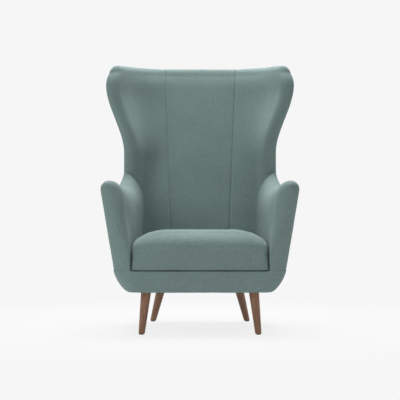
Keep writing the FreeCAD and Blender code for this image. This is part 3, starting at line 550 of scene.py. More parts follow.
def new_object(name, bm):
    mesh = bpy.data.meshes.new(name)
    bm.to_mesh(mesh)
    bm.free()
    for polygon in mesh.polygons:
        polygon.use_smooth = True
    return link(name, mesh)


def welded(patches):
    """One mesh of patches joined where they meet, and its layer of distances from the seams."""
    bm = bmesh.new()
    layer = bm.verts.layers.float.new("seam")
    for patch in patches:
        add_patch(bm, layer, patch)
    bmesh.ops.remove_doubles(bm, verts=bm.verts, dist=WELD)
    return bm, layer


def cloth_panel(name, patches, swell=PANEL_SWELL, depth=SEAM_DEPTH, thickness=CLOTH):
    bm, layer = welded(patches)
    bm.normal_update()
    for vert in bm.verts:
        vert.co += vert.normal * relief(vert.co, vert[layer], swell, depth)
    for edge in bm.edges:
        edge.smooth = not edge.is_boundary
    panel = new_object(name, bm)
    shell = panel.modifiers.new("thickness", "SOLIDIFY")
    shell.thickness = thickness
    shell.offset = -1.0
    return panel


def declare(piece, body, slot, nodes):
    """Gives a piece the material of its slot and its body, and hides the CAD nodes it stands for."""
    piece.data.materials.append(MATERIALS[slot])
    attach(piece, body)
    if nodes:
        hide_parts(*nodes)


def cover(name, patches, nodes, depth=SEAM_DEPTH):
    """A fitted cover of the chair, standing in for the CAD nodes it hides, which may include the padding
    under it.
    """
    panel = cloth_panel(name, patches, depth=depth)
    declare(panel, "chair", "sage_fabric", nodes)


# Back panels

ROW_STEP = 0.010
ROLL_TURNS = [0, 8, 16, 24, 26, 29, 34, 42, 52, 64, 77, 90]
TURN_SLACK = 0.01
PANEL_COLUMNS = 26
OUTSIDE_COLUMNS = 64


def back_heights():
    return np.linspace(BASE_TOP, ROLL_Z, int((ROLL_Z - BASE_TOP) / ROW_STEP))


def roll_turns():
    """Angles up the front of the top roll, and down its rear to the sewn edge."""
    up = [radians(turn) for turn in ROLL_TURNS]
    rear = [turn for turn in reversed(up) if EDGE_SEAM_TURN - TURN_SLACK <= turn < pi / 2 - TURN_SLACK]
    return up, [pi - turn for turn in rear]


def shell_rows(turns):
    """Sections of the back from its foot to the top roll, the last of them again for each turn over it."""
    rows = [(BackSection(z), 0.0) for z in back_heights()]
    return rows + [(rows[-1][0], turn) for turn in turns]


def over_roll(section, front, rear, turn):
    """A point at a turn over the top roll, from the front of the shell to its rear."""
    middle = (front + rear) / 2
    x, y = middle + (front - middle) * cos(turn)
    return x, y, section.z + TOP_ROLL_R * sin(turn)


def shell_patch(rows, flipped=False):
    """Rows of points and seam distances as a patch, with the wings' top corners drawn in."""
    points, distances = (np.array(part) for part in zip(*rows))
    return rounded_corners(points), distances, flipped


def inner_patch(places_at):
    """Inner face and top roll; places_at gives each row's places and distances from its seams."""
    rows = []
    up, down = roll_turns()
    for section, turn in shell_rows(up[1:] + down):
        places, seams = places_at(section)
        line = []
        for place in places:
            front = section.inner.point(abs(place))
            x, y, z = over_roll(section, front, section.across(abs(place)), turn)
            lean = top_lean(z) if turn < pi / 2 else 0.0
            line.append([copysign(x, place), y + lean, z])
        edge = TOP_ROLL_R * abs(pi - EDGE_SEAM_TURN - turn)
        rows.append((line, np.minimum(seams, edge) if turn else seams))
    return shell_patch(rows)


def centre_panel():
    def places_at(section):
        reach = section.inner.distance_at(seam_x(section.z))
        places = columns(2 * reach, PANEL_COLUMNS, True) - reach
        return places, reach - np.abs(places)

    nodes = ["inside_back_centre_panel", "inside_back_foam"]
    cover("inside_back_centre_panel_cloth", [inner_patch(places_at)], nodes)


NOSE_COLUMNS = 16
NOSE_EVEN_TURN = pi - 0.45
NOSE_SEAM_TURNS = (0.34, 0.24, 0.16, 0.10, 0.05, 0.0)


def nose_turns():
    """Angles round the wing's nose, closer together at the rear sewn edge."""
    even = np.linspace(0.0, NOSE_EVEN_TURN, NOSE_COLUMNS)
    return [*even, *(pi - turn for turn in NOSE_SEAM_TURNS)]


def nose_patch():
    """The wing's rounded front edge, closed by a quarter-ball into the top roll."""
    rows = []
    for section, lift in shell_rows(roll_turns()[0][1:]):
        z = section.z + TOP_ROLL_R * sin(lift)
        above = TOP_ROLL_R * max(0.0, lift - EDGE_SEAM_TURN)
        line = []
        seams = []
        for turn in nose_turns():
            x, y = mix(section.centre, section.nose_point(turn), cos(lift))
            line.append([x, y + top_lean(z) * cos(turn / 2) ** 2, z])
            seams.append(hypot(section.nose_r * (pi - turn) * cos(lift), above))
        rows.append((line, seams))
    return shell_patch(rows)


def side_panels():
    def places_at(section):
        start = section.inner.distance_at(seam_x(section.z))
        places = start + columns(section.inner.length - start, PANEL_COLUMNS, False)
        return places, places - start

    patches = [inner_patch(places_at), nose_patch()]
    for side, made in (("right", patches), ("left", mirrored(patches))):
        nodes = [side + "_inside_back_panel", side + "_wing_foam"]
        cover(side + "_inside_back_panel_cloth", made, nodes)


def outside_back():
    rows = []
    turns = [turn for turn in roll_turns()[0] if 0 < turn <= EDGE_SEAM_TURN + TURN_SLACK]
    for section, turn in shell_rows(turns):
        reach = section.outer.length
        places = columns(2 * reach, OUTSIDE_COLUMNS, True) - reach
        line = []
        for place in places:
            front = section.inner.point(abs(place) / reach * section.inner.length)
            x, y, z = over_roll(section, front, section.outer.point(abs(place)), pi - turn)
            line.append([copysign(x, place), y, z])
        seams = reach - np.abs(places)
        edge = TOP_ROLL_R * (EDGE_SEAM_TURN - turn)
        rows.append((line, np.minimum(seams, edge) if turn else seams))
    nodes = ["outside_back_cover", "outside_back_wadding"]
    cover("outside_back_cloth", [shell_patch(rows, True)], nodes)


# Arms

ARM_WALL_POINTS = 12
ARM_SLOPE_POINTS = 40
ARM_NOSE_POINTS = 20
ARM_EVEN_LINES = 30
ARM_TOP_LINES = 7
ARM_SEAM_STEPS = np.array([0.030, 0.017, 0.010, 0.0055, 0.0025])
ARM_CAP_STEP = 0.004
ARM_ROWS = 44
ARM_STATIONS = 90
ARM_CAP_ROWS = 12


def arm_share(y):
    return (y - ARM_FRONT_Y) / (ARM_BACK_Y - ARM_FRONT_Y)


def arm_inner_x(y):
    return mix(ARM_INNER_FRONT_X, ARM_INNER_BACK_X, arm_share(y))


def arm_outer_x(y):
    return mix(ARM_OUTER_FRONT_X, ARM_OUTER_BACK_X, arm_share(y))


def arm_lean(y):
    share = clamp((ARM_BACK_Y - y) / (ARM_BACK_Y - ARM_NOSE_Y))
    return mix(ARM_LEAN_BACK, ARM_LEAN, share ** ARM_LEAN_POWER)


def arm_top(y):
    if y < ARM_DIP_Y:
        return mix(ARM_DIP_Z, ARM_NOSE_Z, ((y - ARM_DIP_Y) / (ARM_NOSE_Y - ARM_DIP_Y)) ** 2)
    return mix(ARM_DIP_Z, ARM_BACK_Z, ((y - ARM_DIP_Y) / (ARM_BACK_Y - ARM_DIP_Y)) ** 2)


def resample(path, shares):
    """Points at shares of the length of a path."""
    path = np.array(path)
    steps = np.linalg.norm(np.diff(path, axis=0), axis=1)
    passed = np.concatenate([[0.0], np.cumsum(steps)]) / steps.sum()
    return np.stack([np.interp(shares, passed, path[:, axis]) for axis in range(2)], axis=1)


def arc_points(centre, radius, first, last, count):
    return [[centre[0] + radius * cos(turn), centre[1] + radius * sin(turn)]
            for turn in np.linspace(first, last, count)]


def arm_flare(y, z, top):
    """How far the inside of the arm opens outward towards its front, at mid-height."""
    near = 1.0 - clamp((y - ARM_ROUND_Y) / ARM_FLARE_REACH)
    up = clamp((z - ARM_FLARE_LOW_Z) / (top - ARM_FLARE_LOW_Z))
    return ARM_FLARE * near * near * sin(pi * up) ** 2


def arm_section(y, shares):
    """Inner and outer halves of the arm's section, each from its foot to the top of the nose."""
    share = clamp(arm_share(y))
    outer_r = mix(ARM_NOSE_OUTER_FRONT_R, ARM_NOSE_OUTER_BACK_R, share)
    middle = sin(pi * share)
    slope = mix(ARM_SLOPE_FRONT_HEIGHT, ARM_SLOPE_BACK_HEIGHT, share) - ARM_SLOPE_MID_DROP * middle
    power = mix(ARM_SLOPE_FRONT_POWER, ARM_SLOPE_BACK_POWER, share) + ARM_SLOPE_MID_POWER * middle
    lean = arm_lean(y)
    top = arm_top(y)
    inner_x = arm_inner_x(y)
    outer_foot = arm_outer_x(y)
    nose_x = outer_foot + lean * (top - outer_r - BASE_TOP) - outer_r * hypot(1.0, lean)
    inner = [[inner_x, z] for z in np.linspace(BASE_TOP, top - slope, ARM_WALL_POINTS)[:-1]]
    for turn in np.linspace(0.0, pi / 2, ARM_SLOPE_POINTS):
        inner.append([mix(nose_x, inner_x, cos(turn) ** (2.0 / power)),
                      top - slope * (1.0 - sin(turn) ** (2.0 / power))])
    inner = [[x + arm_flare(y, z, top), z] for x, z in inner]
    outer = [[outer_foot, BASE_TOP]]
    outer += arc_points((nose_x, top - outer_r), outer_r, -atan(lean), pi / 2, ARM_NOSE_POINTS)
    return resample(inner, shares), resample(outer, shares)


def arm_shares():
    """Places of the arm's lines along half its section, closer together at the sewn edge."""
    even = np.linspace(0.0, ARM_SEAM_SHARE, ARM_EVEN_LINES)
    fine = ARM_SEAM_SHARE - ARM_SEAM_STEPS
    high = np.linspace(ARM_SEAM_SHARE, 1.0, ARM_TOP_LINES)
    return np.concatenate([even[even < fine[0]], fine, high])


def meeting_depth(depths, line):
    """How far back one line of the arm runs before it goes into the back shell."""
    last = depths[0]
    last_room = None
    for y, (x, z) in zip(depths, line):
        room = BackSection(z).front_y(x) - y
        if room < 0.0:
            return mix(last, y, last_room / (last_room - room)) + ARM_TUCK_IN
        last = y
        last_room = room
    return last


def arm_lines(shares):
    """Rows from the back to the front rounding, each from the inner foot over to the outer foot."""
    depths = np.linspace(ARM_ROUND_Y, ARM_BURIED_Y, ARM_STATIONS)
    sections = []
    for y in depths:
        inner, outer = arm_section(y, shares)
        sections.append(np.concatenate([inner, outer[-2::-1]]))
    lines = []
    for line in np.array(sections).transpose(1, 0, 2):
        rows = np.linspace(meeting_depth(depths, line), ARM_ROUND_Y, ARM_ROWS)
        x, z = (np.interp(rows, depths, line[:, axis]) for axis in range(2))
        lines.append(np.column_stack([x, rows, z]))
    return np.array(lines).transpose(1, 0, 2)


def arm_cap(shares):
    """The rounded front of the arm: the section draws in to a spine that lies near the inner edge."""
    inner, outer = arm_section(ARM_ROUND_Y, shares)
    rise = (inner[:, 1:] - ARM_SPINE_LOW_Z) / (ARM_SPINE_HIGH_Z - ARM_SPINE_LOW_Z)
    share = mix(ARM_SPINE_FOOT_SHARE, ARM_SPINE_SHARE, ease(rise))
    spine = mix(inner, outer, share)
    height = arm_top(ARM_ROUND_Y) - BASE_TOP
    spine[:, 1] -= ARM_FRONT_DROP * (spine[:, 1] - BASE_TOP) / height
    edge = np.concatenate([inner, outer[-2::-1]])
    target = np.concatenate([spine, spine[-2::-1]])
    depth = ARM_ROUND_Y - ARM_FRONT_Y
    rows = []
    for turn in np.linspace(0.0, pi / 2, ARM_CAP_ROWS):
        flat = target + (edge - target) * cos(turn)
        y = np.full(len(flat), ARM_ROUND_Y - depth * sin(turn))
        rows.append(np.stack([flat[:, 0], y, flat[:, 1]], axis=1))
    return np.array(rows)


def arms():
    shares = arm_shares()
    seam = len(shares) - 1 + int(np.sum(shares > ARM_SEAM_SHARE + TINY))
    body = arm_lines(shares)
    cap = arm_cap(shares)
    steps = np.linalg.norm(np.diff(body, axis=1), axis=2)
    passed = np.concatenate([np.zeros((ARM_ROWS, 1)), np.cumsum(steps, axis=1)], axis=1)
    away = np.abs(passed - passed[:, seam:seam + 1])
    to_front = np.abs(body[:, :, 1] - ARM_ROUND_Y)
    cap_depth = np.abs(cap[:, :, 1] - ARM_ROUND_Y)
    beside = np.maximum(0.0, seam - np.arange(cap.shape[1])) * ARM_CAP_STEP
    inside = [(body[:, :seam + 1], away[:, :seam + 1], True),
              (cap, np.hypot(cap_depth, beside), True)]
    outside = [(body[:, seam:], np.minimum(away, to_front)[:, seam:], True)]
    pairs = {"right": (inside, outside), "left": (mirrored(inside), mirrored(outside))}
    for side, (inner, outer) in pairs.items():
        nodes = [side + "_inside_arm_cover", side + "_arm_foam"]
        cover(side + "_inside_arm_cloth", inner, nodes)
        cover(side + "_outside_arm_cloth", outer, [side + "_outside_arm_cover"])


# Base band

BASE_FRONT_POINTS = 30
BASE_CORNER_POINTS = 14
BASE_SIDE_POINTS = 36
BASE_BACK_POINTS = 44
BASE_TUCK_INSETS = (0.030, 0.012, CLOTH)
BASE_SEAM_STEPS = (0.0, 0.0012, 0.0026, 0.0045, 0.0075, 0.012)
BASE_HULL_SHARES = np.linspace(0.2, 1.0, 16)
BASE_HULL_SEAM = 0.02
BASE_HEM_INSETS = (0.003, 0.008, 0.015, BASE_MARGIN)
BASE_HEM_SEAM = 0.12
BASE_SEAM_DEPTH = 0.0012


def whole_loop(half):
    """A whole plan outline from its right half."""
    return np.concatenate([half, half[-2::-1] * np.array([-1.0, 1.0])])


def base_plan():
    """Right half of the base's plan at its top: front, rounded corner, side of the arm, back."""
    spine = mix(arm_inner_x(ARM_ROUND_Y), arm_outer_x(ARM_ROUND_Y), ARM_SPINE_FOOT_SHARE)
    across = arm_outer_x(ARM_ROUND_Y) - spine
    depth = ARM_ROUND_Y - ARM_FRONT_Y
    path = [[x, ARM_FRONT_Y] for x in np.linspace(0.0, spine, BASE_FRONT_POINTS)]
    for turn in np.linspace(0.0, pi / 2, BASE_CORNER_POINTS)[1:]:
        path.append([spine + across * sin(turn), ARM_ROUND_Y - depth * cos(turn)])
    shell = BackSection(BASE_TOP)
    corner = np.array(path[-1])
    for share in np.linspace(0.0, 1.0, BASE_SIDE_POINTS)[1:-1]:
        path.append(mix(corner, shell.outer.end, share))
    for place in np.linspace(shell.outer.length, 0.0, BASE_BACK_POINTS):
        path.append(shell.outer.point(place))
    return np.array(path)


def base_loop(z, inset):
    """Right half of the base's plan at a height, drawn in towards the bottom."""
    share = clamp((BASE_TOP - z) / (BASE_TOP - BASE_BOTTOM))
    curve = 1.0 - (1.0 - share ** BASE_HULL_POWER) ** (1.0 / BASE_HULL_POWER)
    side_inset = ARM_LEAN * max(0.0, BASE_TOP - z) + BASE_HULL_INSET * curve + inset
    end_inset = BASE_EDGE_INSET * curve + inset
    loop = base_plan()
    loop[:, 0] *= 1.0 - side_inset / loop[:, 0].max()
    along = (loop[:, 1] - ARM_FRONT_Y) / (BACK_FOOT_Y - ARM_FRONT_Y)
    loop[:, 1] = mix(ARM_FRONT_Y + end_inset, BACK_FOOT_Y - end_inset, along)
    return loop


def base_rows():
    """Heights, insets and seam distances, from the tucked top edge to the turned-under hem."""
    rows = [(BASE_TOP + BASE_LAP, inset, 0.0) for inset in BASE_TUCK_INSETS]
    rows += [(BASE_TOP - down, 0.0, down) for down in BASE_SEAM_STEPS]
    for share in BASE_HULL_SHARES:
        down = (BASE_TOP - BASE_BOTTOM) * sin(share * pi / 2)
        rows.append((BASE_TOP - down, 0.0, BASE_HULL_SEAM + down))
    return rows + [(BASE_BOTTOM, inset, BASE_HEM_SEAM) for inset in BASE_HEM_INSETS]


def base_heights(loop, z, inset):
    """Height round the base: the top edge sinks in front, where it turns in under the cushion."""
    open_front = (np.abs(loop[:, 0]) < arm_inner_x(ARM_FRONT_Y) - CUSHION_GAP) & (loop[:, 1] < ARM_ROUND_Y)
    sunk = BASE_TOP - BASE_FRONT_SINK - BASE_FRONT_FALL * clamp(inset / BASE_EDGE_INSET)
    return np.where(open_front, min(z, sunk), z)


def base_band():
    points = []
    distances = []
    for z, inset, seam in base_rows():
        loop = whole_loop(base_loop(z, inset))
        points.append(np.column_stack([loop, base_heights(loop, z, inset)]))
        behind = clamp((loop[:, 1] - ARM_ROUND_Y) / SWELL_REACH)
        distances.append(mix(SEAMLESS, seam, behind))
    patch = (np.array(points), np.array(distances), True)
    nodes = ["base_band_cover", "base_padding"]
    cover("base_band_cloth", [patch], nodes, BASE_SEAM_DEPTH)


# Layers that do not show at rest: hessian, pad and deck cloth on the springs, back webbing, dust cloth

SHEET_ROWS = 40
SHEET_COLUMNS = 44
SHEET_THICK = 0.0008
DECK_LAP = 0.004
DUST_RISE = 0.001
DUST_SAG = 0.002


def flat_cloth(name, slot, stands_for, half_width_at, z, sag=0.0):
    """A cloth stretched over the depth of a CAD node, and declared as the sheet that stands for it."""
    low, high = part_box(stands_for)
    depth = high.y - low.y
    rows = []
    for y in np.linspace(low.y, high.y, SHEET_ROWS):
        half = half_width_at(y)
        along = (y - low.y) / depth
        line = []
        for share in np.linspace(-1.0, 1.0, SHEET_COLUMNS):
            hang = sag * (1.0 - share * share) * 4.0 * along * (1.0 - along)
            line.append([share * half, y, z - hang])
        rows.append(line)
    piece = cloth_panel(name, [seamless(np.array(rows))], swell=0.0, thickness=SHEET_THICK)
    declare(piece, "chair", slot, [stands_for])


def hessian_sheet():
    low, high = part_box("hessian_sheet")
    flat_cloth("hessian_cloth", "hessian", "hessian_sheet",
               lambda y: high.x, high.z)


PAD_EDGE = 0.012
PAD_ROWS = 60
PAD_COLUMNS = 50


def deck_pad():
    """Felt pad with rounded edges on the seat springs."""
    low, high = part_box("deck_pad")

    def point(y, x):
        edge = min(x - low.x, high.x - x, y - low.y, high.y - y)
        return x, y, mix(low.z, high.z, edge_roll(edge, PAD_EDGE))

    top = grid(np.linspace(low.y, high.y, PAD_ROWS), np.linspace(low.x, high.x, PAD_COLUMNS), point)
    bottom = top.copy()
    bottom[:, :, 2] = low.z
    bm, _ = welded([seamless(top), seamless(bottom, True)])
    declare(new_object("deck_pad_felt", bm), "chair", "wadding", ["deck_pad"])


STRAP_COUNT = 6
STRAP_WIDTH = 0.050
STRAP_THICK = 0.0012
STRAP_COLUMNS = 40
STRAP_LINES = 29
STRAP_NECK = 0.04
STRAP_RIB = 0.0003
STRAP_RIBS = 7


def webbing_straps():
    """Ribbed elastic straps across the back, drawn a little narrower at mid-span."""
    low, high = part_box("back_webbing")
    pitch = (high.z - low.z - STRAP_WIDTH) / (STRAP_COUNT - 1)
    rake = (high.y - low.y) / (high.z - low.z)
    widths = np.linspace(low.x, high.x, STRAP_COLUMNS)
    shares = np.linspace(-0.5, 0.5, STRAP_LINES)
    patches = []
    for foot in [low.z + index * pitch for index in range(STRAP_COUNT)]:
        def point(x, share):
            neck = 1.0 - STRAP_NECK * cos(pi / 2 * x / high.x)
            z = foot + STRAP_WIDTH * (0.5 + share * neck)
            rib = STRAP_RIB * cos(2 * pi * STRAP_RIBS * share)
            return x, low.y + (z - low.z) * rake - rib, z

        patches.append(seamless(grid(widths, shares, point)))
    straps = cloth_panel("back_webbing_straps", patches, swell=0.0, thickness=STRAP_THICK)
    declare(straps, "chair", "webbing", ["back_webbing"])


def deck():
    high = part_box("deck_cover")[1]
    flat_cloth("deck_cloth", "lining", "deck_cover",
               lambda y: arm_inner_x(y) + DECK_LAP, high.z)


def dust_cover():
    low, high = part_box("dust_cover")

    def half_width(y):
        loop = base_loop(BASE_BOTTOM, BASE_MARGIN)
        nearest = np.abs(loop[:, 1] - y)
        side = loop[nearest <= nearest.min() + TINY]
        return float(side[:, 0].max())

    flat_cloth("dust_cloth", "lining", "dust_cover",
               half_width, low.z + DUST_RISE, DUST_SAG)


# Seat cushion

CUSHION_FRONT_POINTS = 30
CUSHION_CORNER_POINTS = 14
CUSHION_SIDE_POINTS = 40
CUSHION_REAR_POINTS = 20
CUSHION_BOTTOM_ROWS = 12
CUSHION_FOOT_ROWS = 4
CUSHION_SIDE_ROWS = 14
CUSHION_CROWN_ROWS = 30


def cushion_half_width(y):
    return arm_inner_x(y) - CUSHION_GAP


def cushion_crown(x, y):
    """Height of the crown over the cushion's edge."""
    front = edge_roll(y - CUSHION_FRONT_Y, CUSHION_FRONT_ROLL)
    back = edge_roll(CUSHION_BACK_Y - y, CUSHION_BACK_ROLL)
    side = edge_roll(cushion_half_width(y) - abs(x), CUSHION_SIDE_ROLL)
    return CUSHION_CROWN * front * back * mix(CUSHION_SIDE_LIFT, 1.0, side)


def cushion_rings(bottom):
    """Insets and heights of the cushion's sides, from its bottom edge to its crown."""
    rings = []
    for turn in np.linspace(0.0, pi / 2, CUSHION_FOOT_ROWS):
        inset = CUSHION_BOTTOM_R * (1.0 - sin(turn))
        rings.append((inset, bottom + CUSHION_BOTTOM_R * (1.0 - cos(turn))))
    low = bottom + CUSHION_BOTTOM_R
    for share in np.linspace(0.0, 1.0, CUSHION_SIDE_ROWS)[1:]:
        inset = CUSHION_START_INSET * sin(share * pi / 2)
        rings.append((inset, mix(low, CUSHION_EDGE_Z, share)))
    return rings


def cushion_outline(inset):
    """The cushion's plan with rounded corners, narrower at the rear, drawn in by an inset."""
    front = CUSHION_FRONT_Y + inset
    rear = CUSHION_BACK_Y - inset
    half = cushion_half_width(front) - inset
    rear_scale = (cushion_half_width(rear) - inset) / half
    side = half - CUSHION_CORNER_R
    low = front + CUSHION_CORNER_R
    high = rear - CUSHION_CORNER_R
    path = [[x, front] for x in np.linspace(0.0, side, CUSHION_FRONT_POINTS)]
    path += arc_points((side, low), CUSHION_CORNER_R, -pi / 2, 0.0, CUSHION_CORNER_POINTS)[1:]
    path += [[half, y] for y in np.linspace(low, high, CUSHION_SIDE_POINTS)[1:]]
    path += arc_points((side, high), CUSHION_CORNER_R, 0.0, pi / 2, CUSHION_REAR_POINTS)[1:]
    path += [[x, rear] for x in np.linspace(side, 0.0, CUSHION_REAR_POINTS)[1:]]
    path = np.array(path)
    path[:, 0] *= mix(1.0, rear_scale, (path[:, 1] - front) / (rear - front))
    return whole_loop(path)


def cushion_block():
    """The sewn cover before it is filled: flat bottom, upright sides, rounded top edge and crown."""
    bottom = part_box("cushion_cover")[0].z
    centre = np.array([0.0, (CUSHION_FRONT_Y + CUSHION_BACK_Y) / 2])
    rows = []
    rings = cushion_rings(bottom)
    foot = cushion_outline(rings[0][0])
    for share in np.linspace(0.0, 1.0, CUSHION_BOTTOM_ROWS)[:-1]:
        rows.append(np.column_stack([mix(centre, foot, share), np.full(len(foot), bottom)]))
    for inset, z in rings:
        loop = cushion_outline(inset)
        rows.append(np.column_stack([loop, np.full(len(loop), z)]))
    edge = rows[-1]
    for turn in np.linspace(pi / 2, 0.0, CUSHION_CROWN_ROWS)[1:]:
        flat = mix(centre, edge[:, :2], sin(turn))
        lift = [cushion_crown(*place) for place in flat]
        rows.append(np.column_stack([flat, edge[:, 2] + np.array(lift)]))
    bm, _ = welded([seamless(np.array(rows))])
    return new_object("seat_cushion_cloth", bm)


def swell_cloth(piece):
    """Blows the sewn cover up a little, as foam fills it, and caps how far any point moves."""
    remesh = piece.modifiers.new("remesh", "REMESH")
    remesh.mode = "VOXEL"
    remesh.voxel_size = CUSHION_VOXEL
    bpy.context.view_layer.objects.active = piece
    bpy.ops.object.modifier_apply(modifier=remesh.name)
    start = np.array([vert.co for vert in piece.data.vertices])
    resting = piece.vertex_groups.new(name="resting")
    bottom = np.flatnonzero(start[:, 2] < start[:, 2].min() + CUSHION_VOXEL)
    resting.add(bottom.tolist(), 1.0, "REPLACE")
    cloth = piece.modifiers.new("cloth", "CLOTH")
    cloth.settings.vertex_group_mass = resting.name
    cloth.settings.use_pressure = True
    cloth.settings.uniform_pressure_force = CUSHION_PRESSURE
    cloth.settings.effector_weights.gravity = 0.0
    scene = bpy.context.scene
    for span in (scene, cloth.point_cache):
        span.frame_start = 1
        span.frame_end = CUSHION_FRAMES
    for step in range(1, CUSHION_FRAMES + 1):
        scene.frame_set(step)
    graph = bpy.context.evaluated_depsgraph_get()
    swollen = np.array([vert.co for vert in piece.evaluated_get(graph).data.vertices])
    piece.modifiers.remove(cloth)
    piece.vertex_groups.remove(resting)
    scene.frame_set(1)
    move = swollen - start
    length = np.linalg.norm(move, axis=1, keepdims=True)
    move *= np.minimum(1.0, CUSHION_SWELL_CAP / np.maximum(length, TINY))
    piece.data.vertices.foreach_set("co", (start + move).ravel())
    piece.data.update()


def soft_stop(room):
    """Keeps a distance from a wall above nothing without a crease."""
    if room > CUSHION_SOFT_STOP:
        return room
    return CUSHION_SOFT_STOP * exp(room / CUSHION_SOFT_STOP - 1.0)


def foot_room(room, height):
    """Brings the rounded bottom edge out to the side above it, where the cover is sewn."""
    if height > CUSHION_FOOT_R or room > 2 * CUSHION_FOOT_R:
        return room
    return max(0.0, room - CUSHION_FOOT_R * (1.0 - edge_roll(height, CUSHION_FOOT_R)))


def settle_cushion(piece):
    """Flat where it rests on the deck and at its zip, clear of the arms, puckered at its front corners."""
    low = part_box("cushion_cover")[0].z
    places = [vert.co + vert.normal * ripple(vert.co) for vert in piece.data.vertices]
    settled = []
    for place in places:
        limit = arm_inner_x(place.y) - CUSHION_GAP / 2
        height = place.z - low
        side_room = foot_room(soft_stop(limit - abs(place.x)), height)
        front_room = foot_room(soft_stop(place.y - CUSHION_FRONT_Y), height)
        above = (place.z - PUCKER_Z) / PUCKER_HEIGHT
        away = hypot(side_room, front_room) / PUCKER_REACH
        pinch = exp(-above ** 2 - away ** 2)
        x = copysign(limit - side_room - pinch * PUCKER_DEPTH, place.x)
        y = min(CUSHION_BACK_Y, CUSHION_FRONT_Y + front_room + pinch * PUCKER_DEPTH)
        settled.append((x, y, max(low, place.z)))
    piece.data.vertices.foreach_set("co", np.array(settled).ravel())
    piece.data.update()


def seat_cushion():
    piece = cushion_block()
    swell_cloth(piece)
    settle_cushion(piece)
    for polygon in piece.data.polygons:
        polygon.use_smooth = True
    smooth = piece.modifiers.new("smooth", "SUBSURF")
    smooth.levels = 1
    smooth.render_levels = 1
    nodes = ["cushion_cover", "cushion_core"]
    declare(piece, "seat_cushion", "sage_fabric", nodes)


# Zip in the back of the cushion

ZIP_TAPE_THICK = 0.0012
ZIP_GAP_HALF = 0.0015
ZIP_ROWS = 9
ZIP_COLUMNS = 120
ZIP_SEAM_SHARE = 0.25
ZIP_SEAM_DEPTH = 0.0004
TOOTH_PITCH = 0.0026
TOOTH_SIZE = (0.0016, 0.0022, 0.0044)
TOOTH_SHIFT = 0.0007
TOOTH_BEVEL = 0.0004
SLIDER_PLATE = 0.0013
SLIDER_DEPTH = 0.0026
SLIDER_BEVEL = 0.0005
FLANGE_SIZE = (0.0022, 0.0011)
FLANGE_BACK = 0.0010
FLANGE_IN = 0.0006
FLANGE_BEVEL = 0.0003
BRIDGE_SIZE = (0.0042, 0.0016, 0.0036)
BRIDGE_OUT = 0.0012
PULL_WIRE = 0.0011
PULL_BEVEL = 0.0002
PULL_POINTS = 48
PULL_WIDTH_SHARE = 1 / 3
PULL_BEND = 4


def add_block(bm, centre, size, bevel):
    """A small block with rounded edges."""
    made = bmesh.ops.create_cube(bm, size=1.0)
    for vert in made["verts"]:
        vert.co = Vector([middle + share * extent for middle, share, extent in zip(centre, vert.co, size)])
    edges = {edge for vert in made["verts"] for edge in vert.link_edges}
    bmesh.ops.bevel(bm, geom=list(edges), offset=bevel, segments=2, affect="EDGES")


def zip_box():
    """Corners of the zip tape, and the height of its teeth."""
    low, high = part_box("zip_tape")
    return low, high, (low.z + high.z) / 2


def zip_tape():
    """Two tapes sewn in along the zip, with a seam groove beside the teeth."""
    low, high, middle = zip_box()
    widths = np.linspace(low.x, high.x, ZIP_COLUMNS)
    patches = []
    for edge, sign in ((low.z, -1), (high.z, 1)):
        heights = np.linspace(edge, middle + sign * ZIP_GAP_HALF, ZIP_ROWS)
        points = grid(heights, widths, lambda z, x: (x, low.y + ZIP_TAPE_THICK, z))
        patches.append((points, np.abs(points[:, :, 2] - mix(edge, middle, ZIP_SEAM_SHARE)), sign < 0))
    tape = cloth_panel("zip_tape_cloth", patches, swell=0.0, depth=ZIP_SEAM_DEPTH, thickness=ZIP_TAPE_THICK)
    declare(tape, "seat_cushion", "zip_tape", ["zip_tape"])


def zip_teeth():
    """Interlocked teeth, set alternately a little up and down."""
    low, high, middle = zip_box()
    y = low.y + ZIP_TAPE_THICK + TOOTH_SIZE[1] / 4
    bm = bmesh.new()
    for index in range(int((high.x - low.x) / TOOTH_PITCH)):
        shift = TOOTH_SHIFT if index % 2 else -TOOTH_SHIFT
        x = low.x + (index + 0.5) * TOOTH_PITCH
        add_block(bm, (x, y, middle + shift), TOOTH_SIZE, TOOTH_BEVEL)
    declare(new_object("zip_teeth", bm), "seat_cushion", "zip_metal", [])


def zip_slider():
    """Slider body with its bridge, and the pull hanging from it as a bent wire loop."""
    low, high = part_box("zip_slider")
    z = zip_box()[2]
    x = (low.x + high.x) / 2
    length = high.x - low.x
    top = high.z - z
    plate_y = high.y - SLIDER_DEPTH
    bm = bmesh.new()
    add_block(bm, (x, plate_y, z), (length, SLIDER_PLATE, 2 * top), SLIDER_BEVEL)
    for side in (-1, 1):
        centre = (x, plate_y - FLANGE_BACK, z + side * (top - FLANGE_IN))
        add_block(bm, centre, (length, *FLANGE_SIZE), FLANGE_BEVEL)
    add_block(bm, (x, plate_y + BRIDGE_OUT, z), BRIDGE_SIZE, SLIDER_BEVEL)
    half = length * PULL_WIDTH_SHARE / 2
    reach = (z - low.z) / 2 - half
    ring = []
    for turn in np.linspace(0.0, 2 * pi, PULL_POINTS, endpoint=False):
        along = sin(turn)
        straight = copysign(reach, along) * min(1.0, abs(along) * PULL_BEND)
        height = (z + low.z) / 2 + half * along + straight
        ring.append(Vector((x + half * cos(turn), high.y - PULL_WIRE / 2, height)))
    for place, onward in zip(ring, ring[1:] + ring[:1]):
        step = onward - place
        size = (PULL_WIRE + abs(step.x), PULL_WIRE, PULL_WIRE + abs(step.z))
        add_block(bm, (place + onward) / 2, size, PULL_BEVEL)
    declare(new_object("zip_slider_metal", bm), "zip_slider", "zip_metal", ["zip_slider"])


# Studio: backdrop, floor, lamps and camera

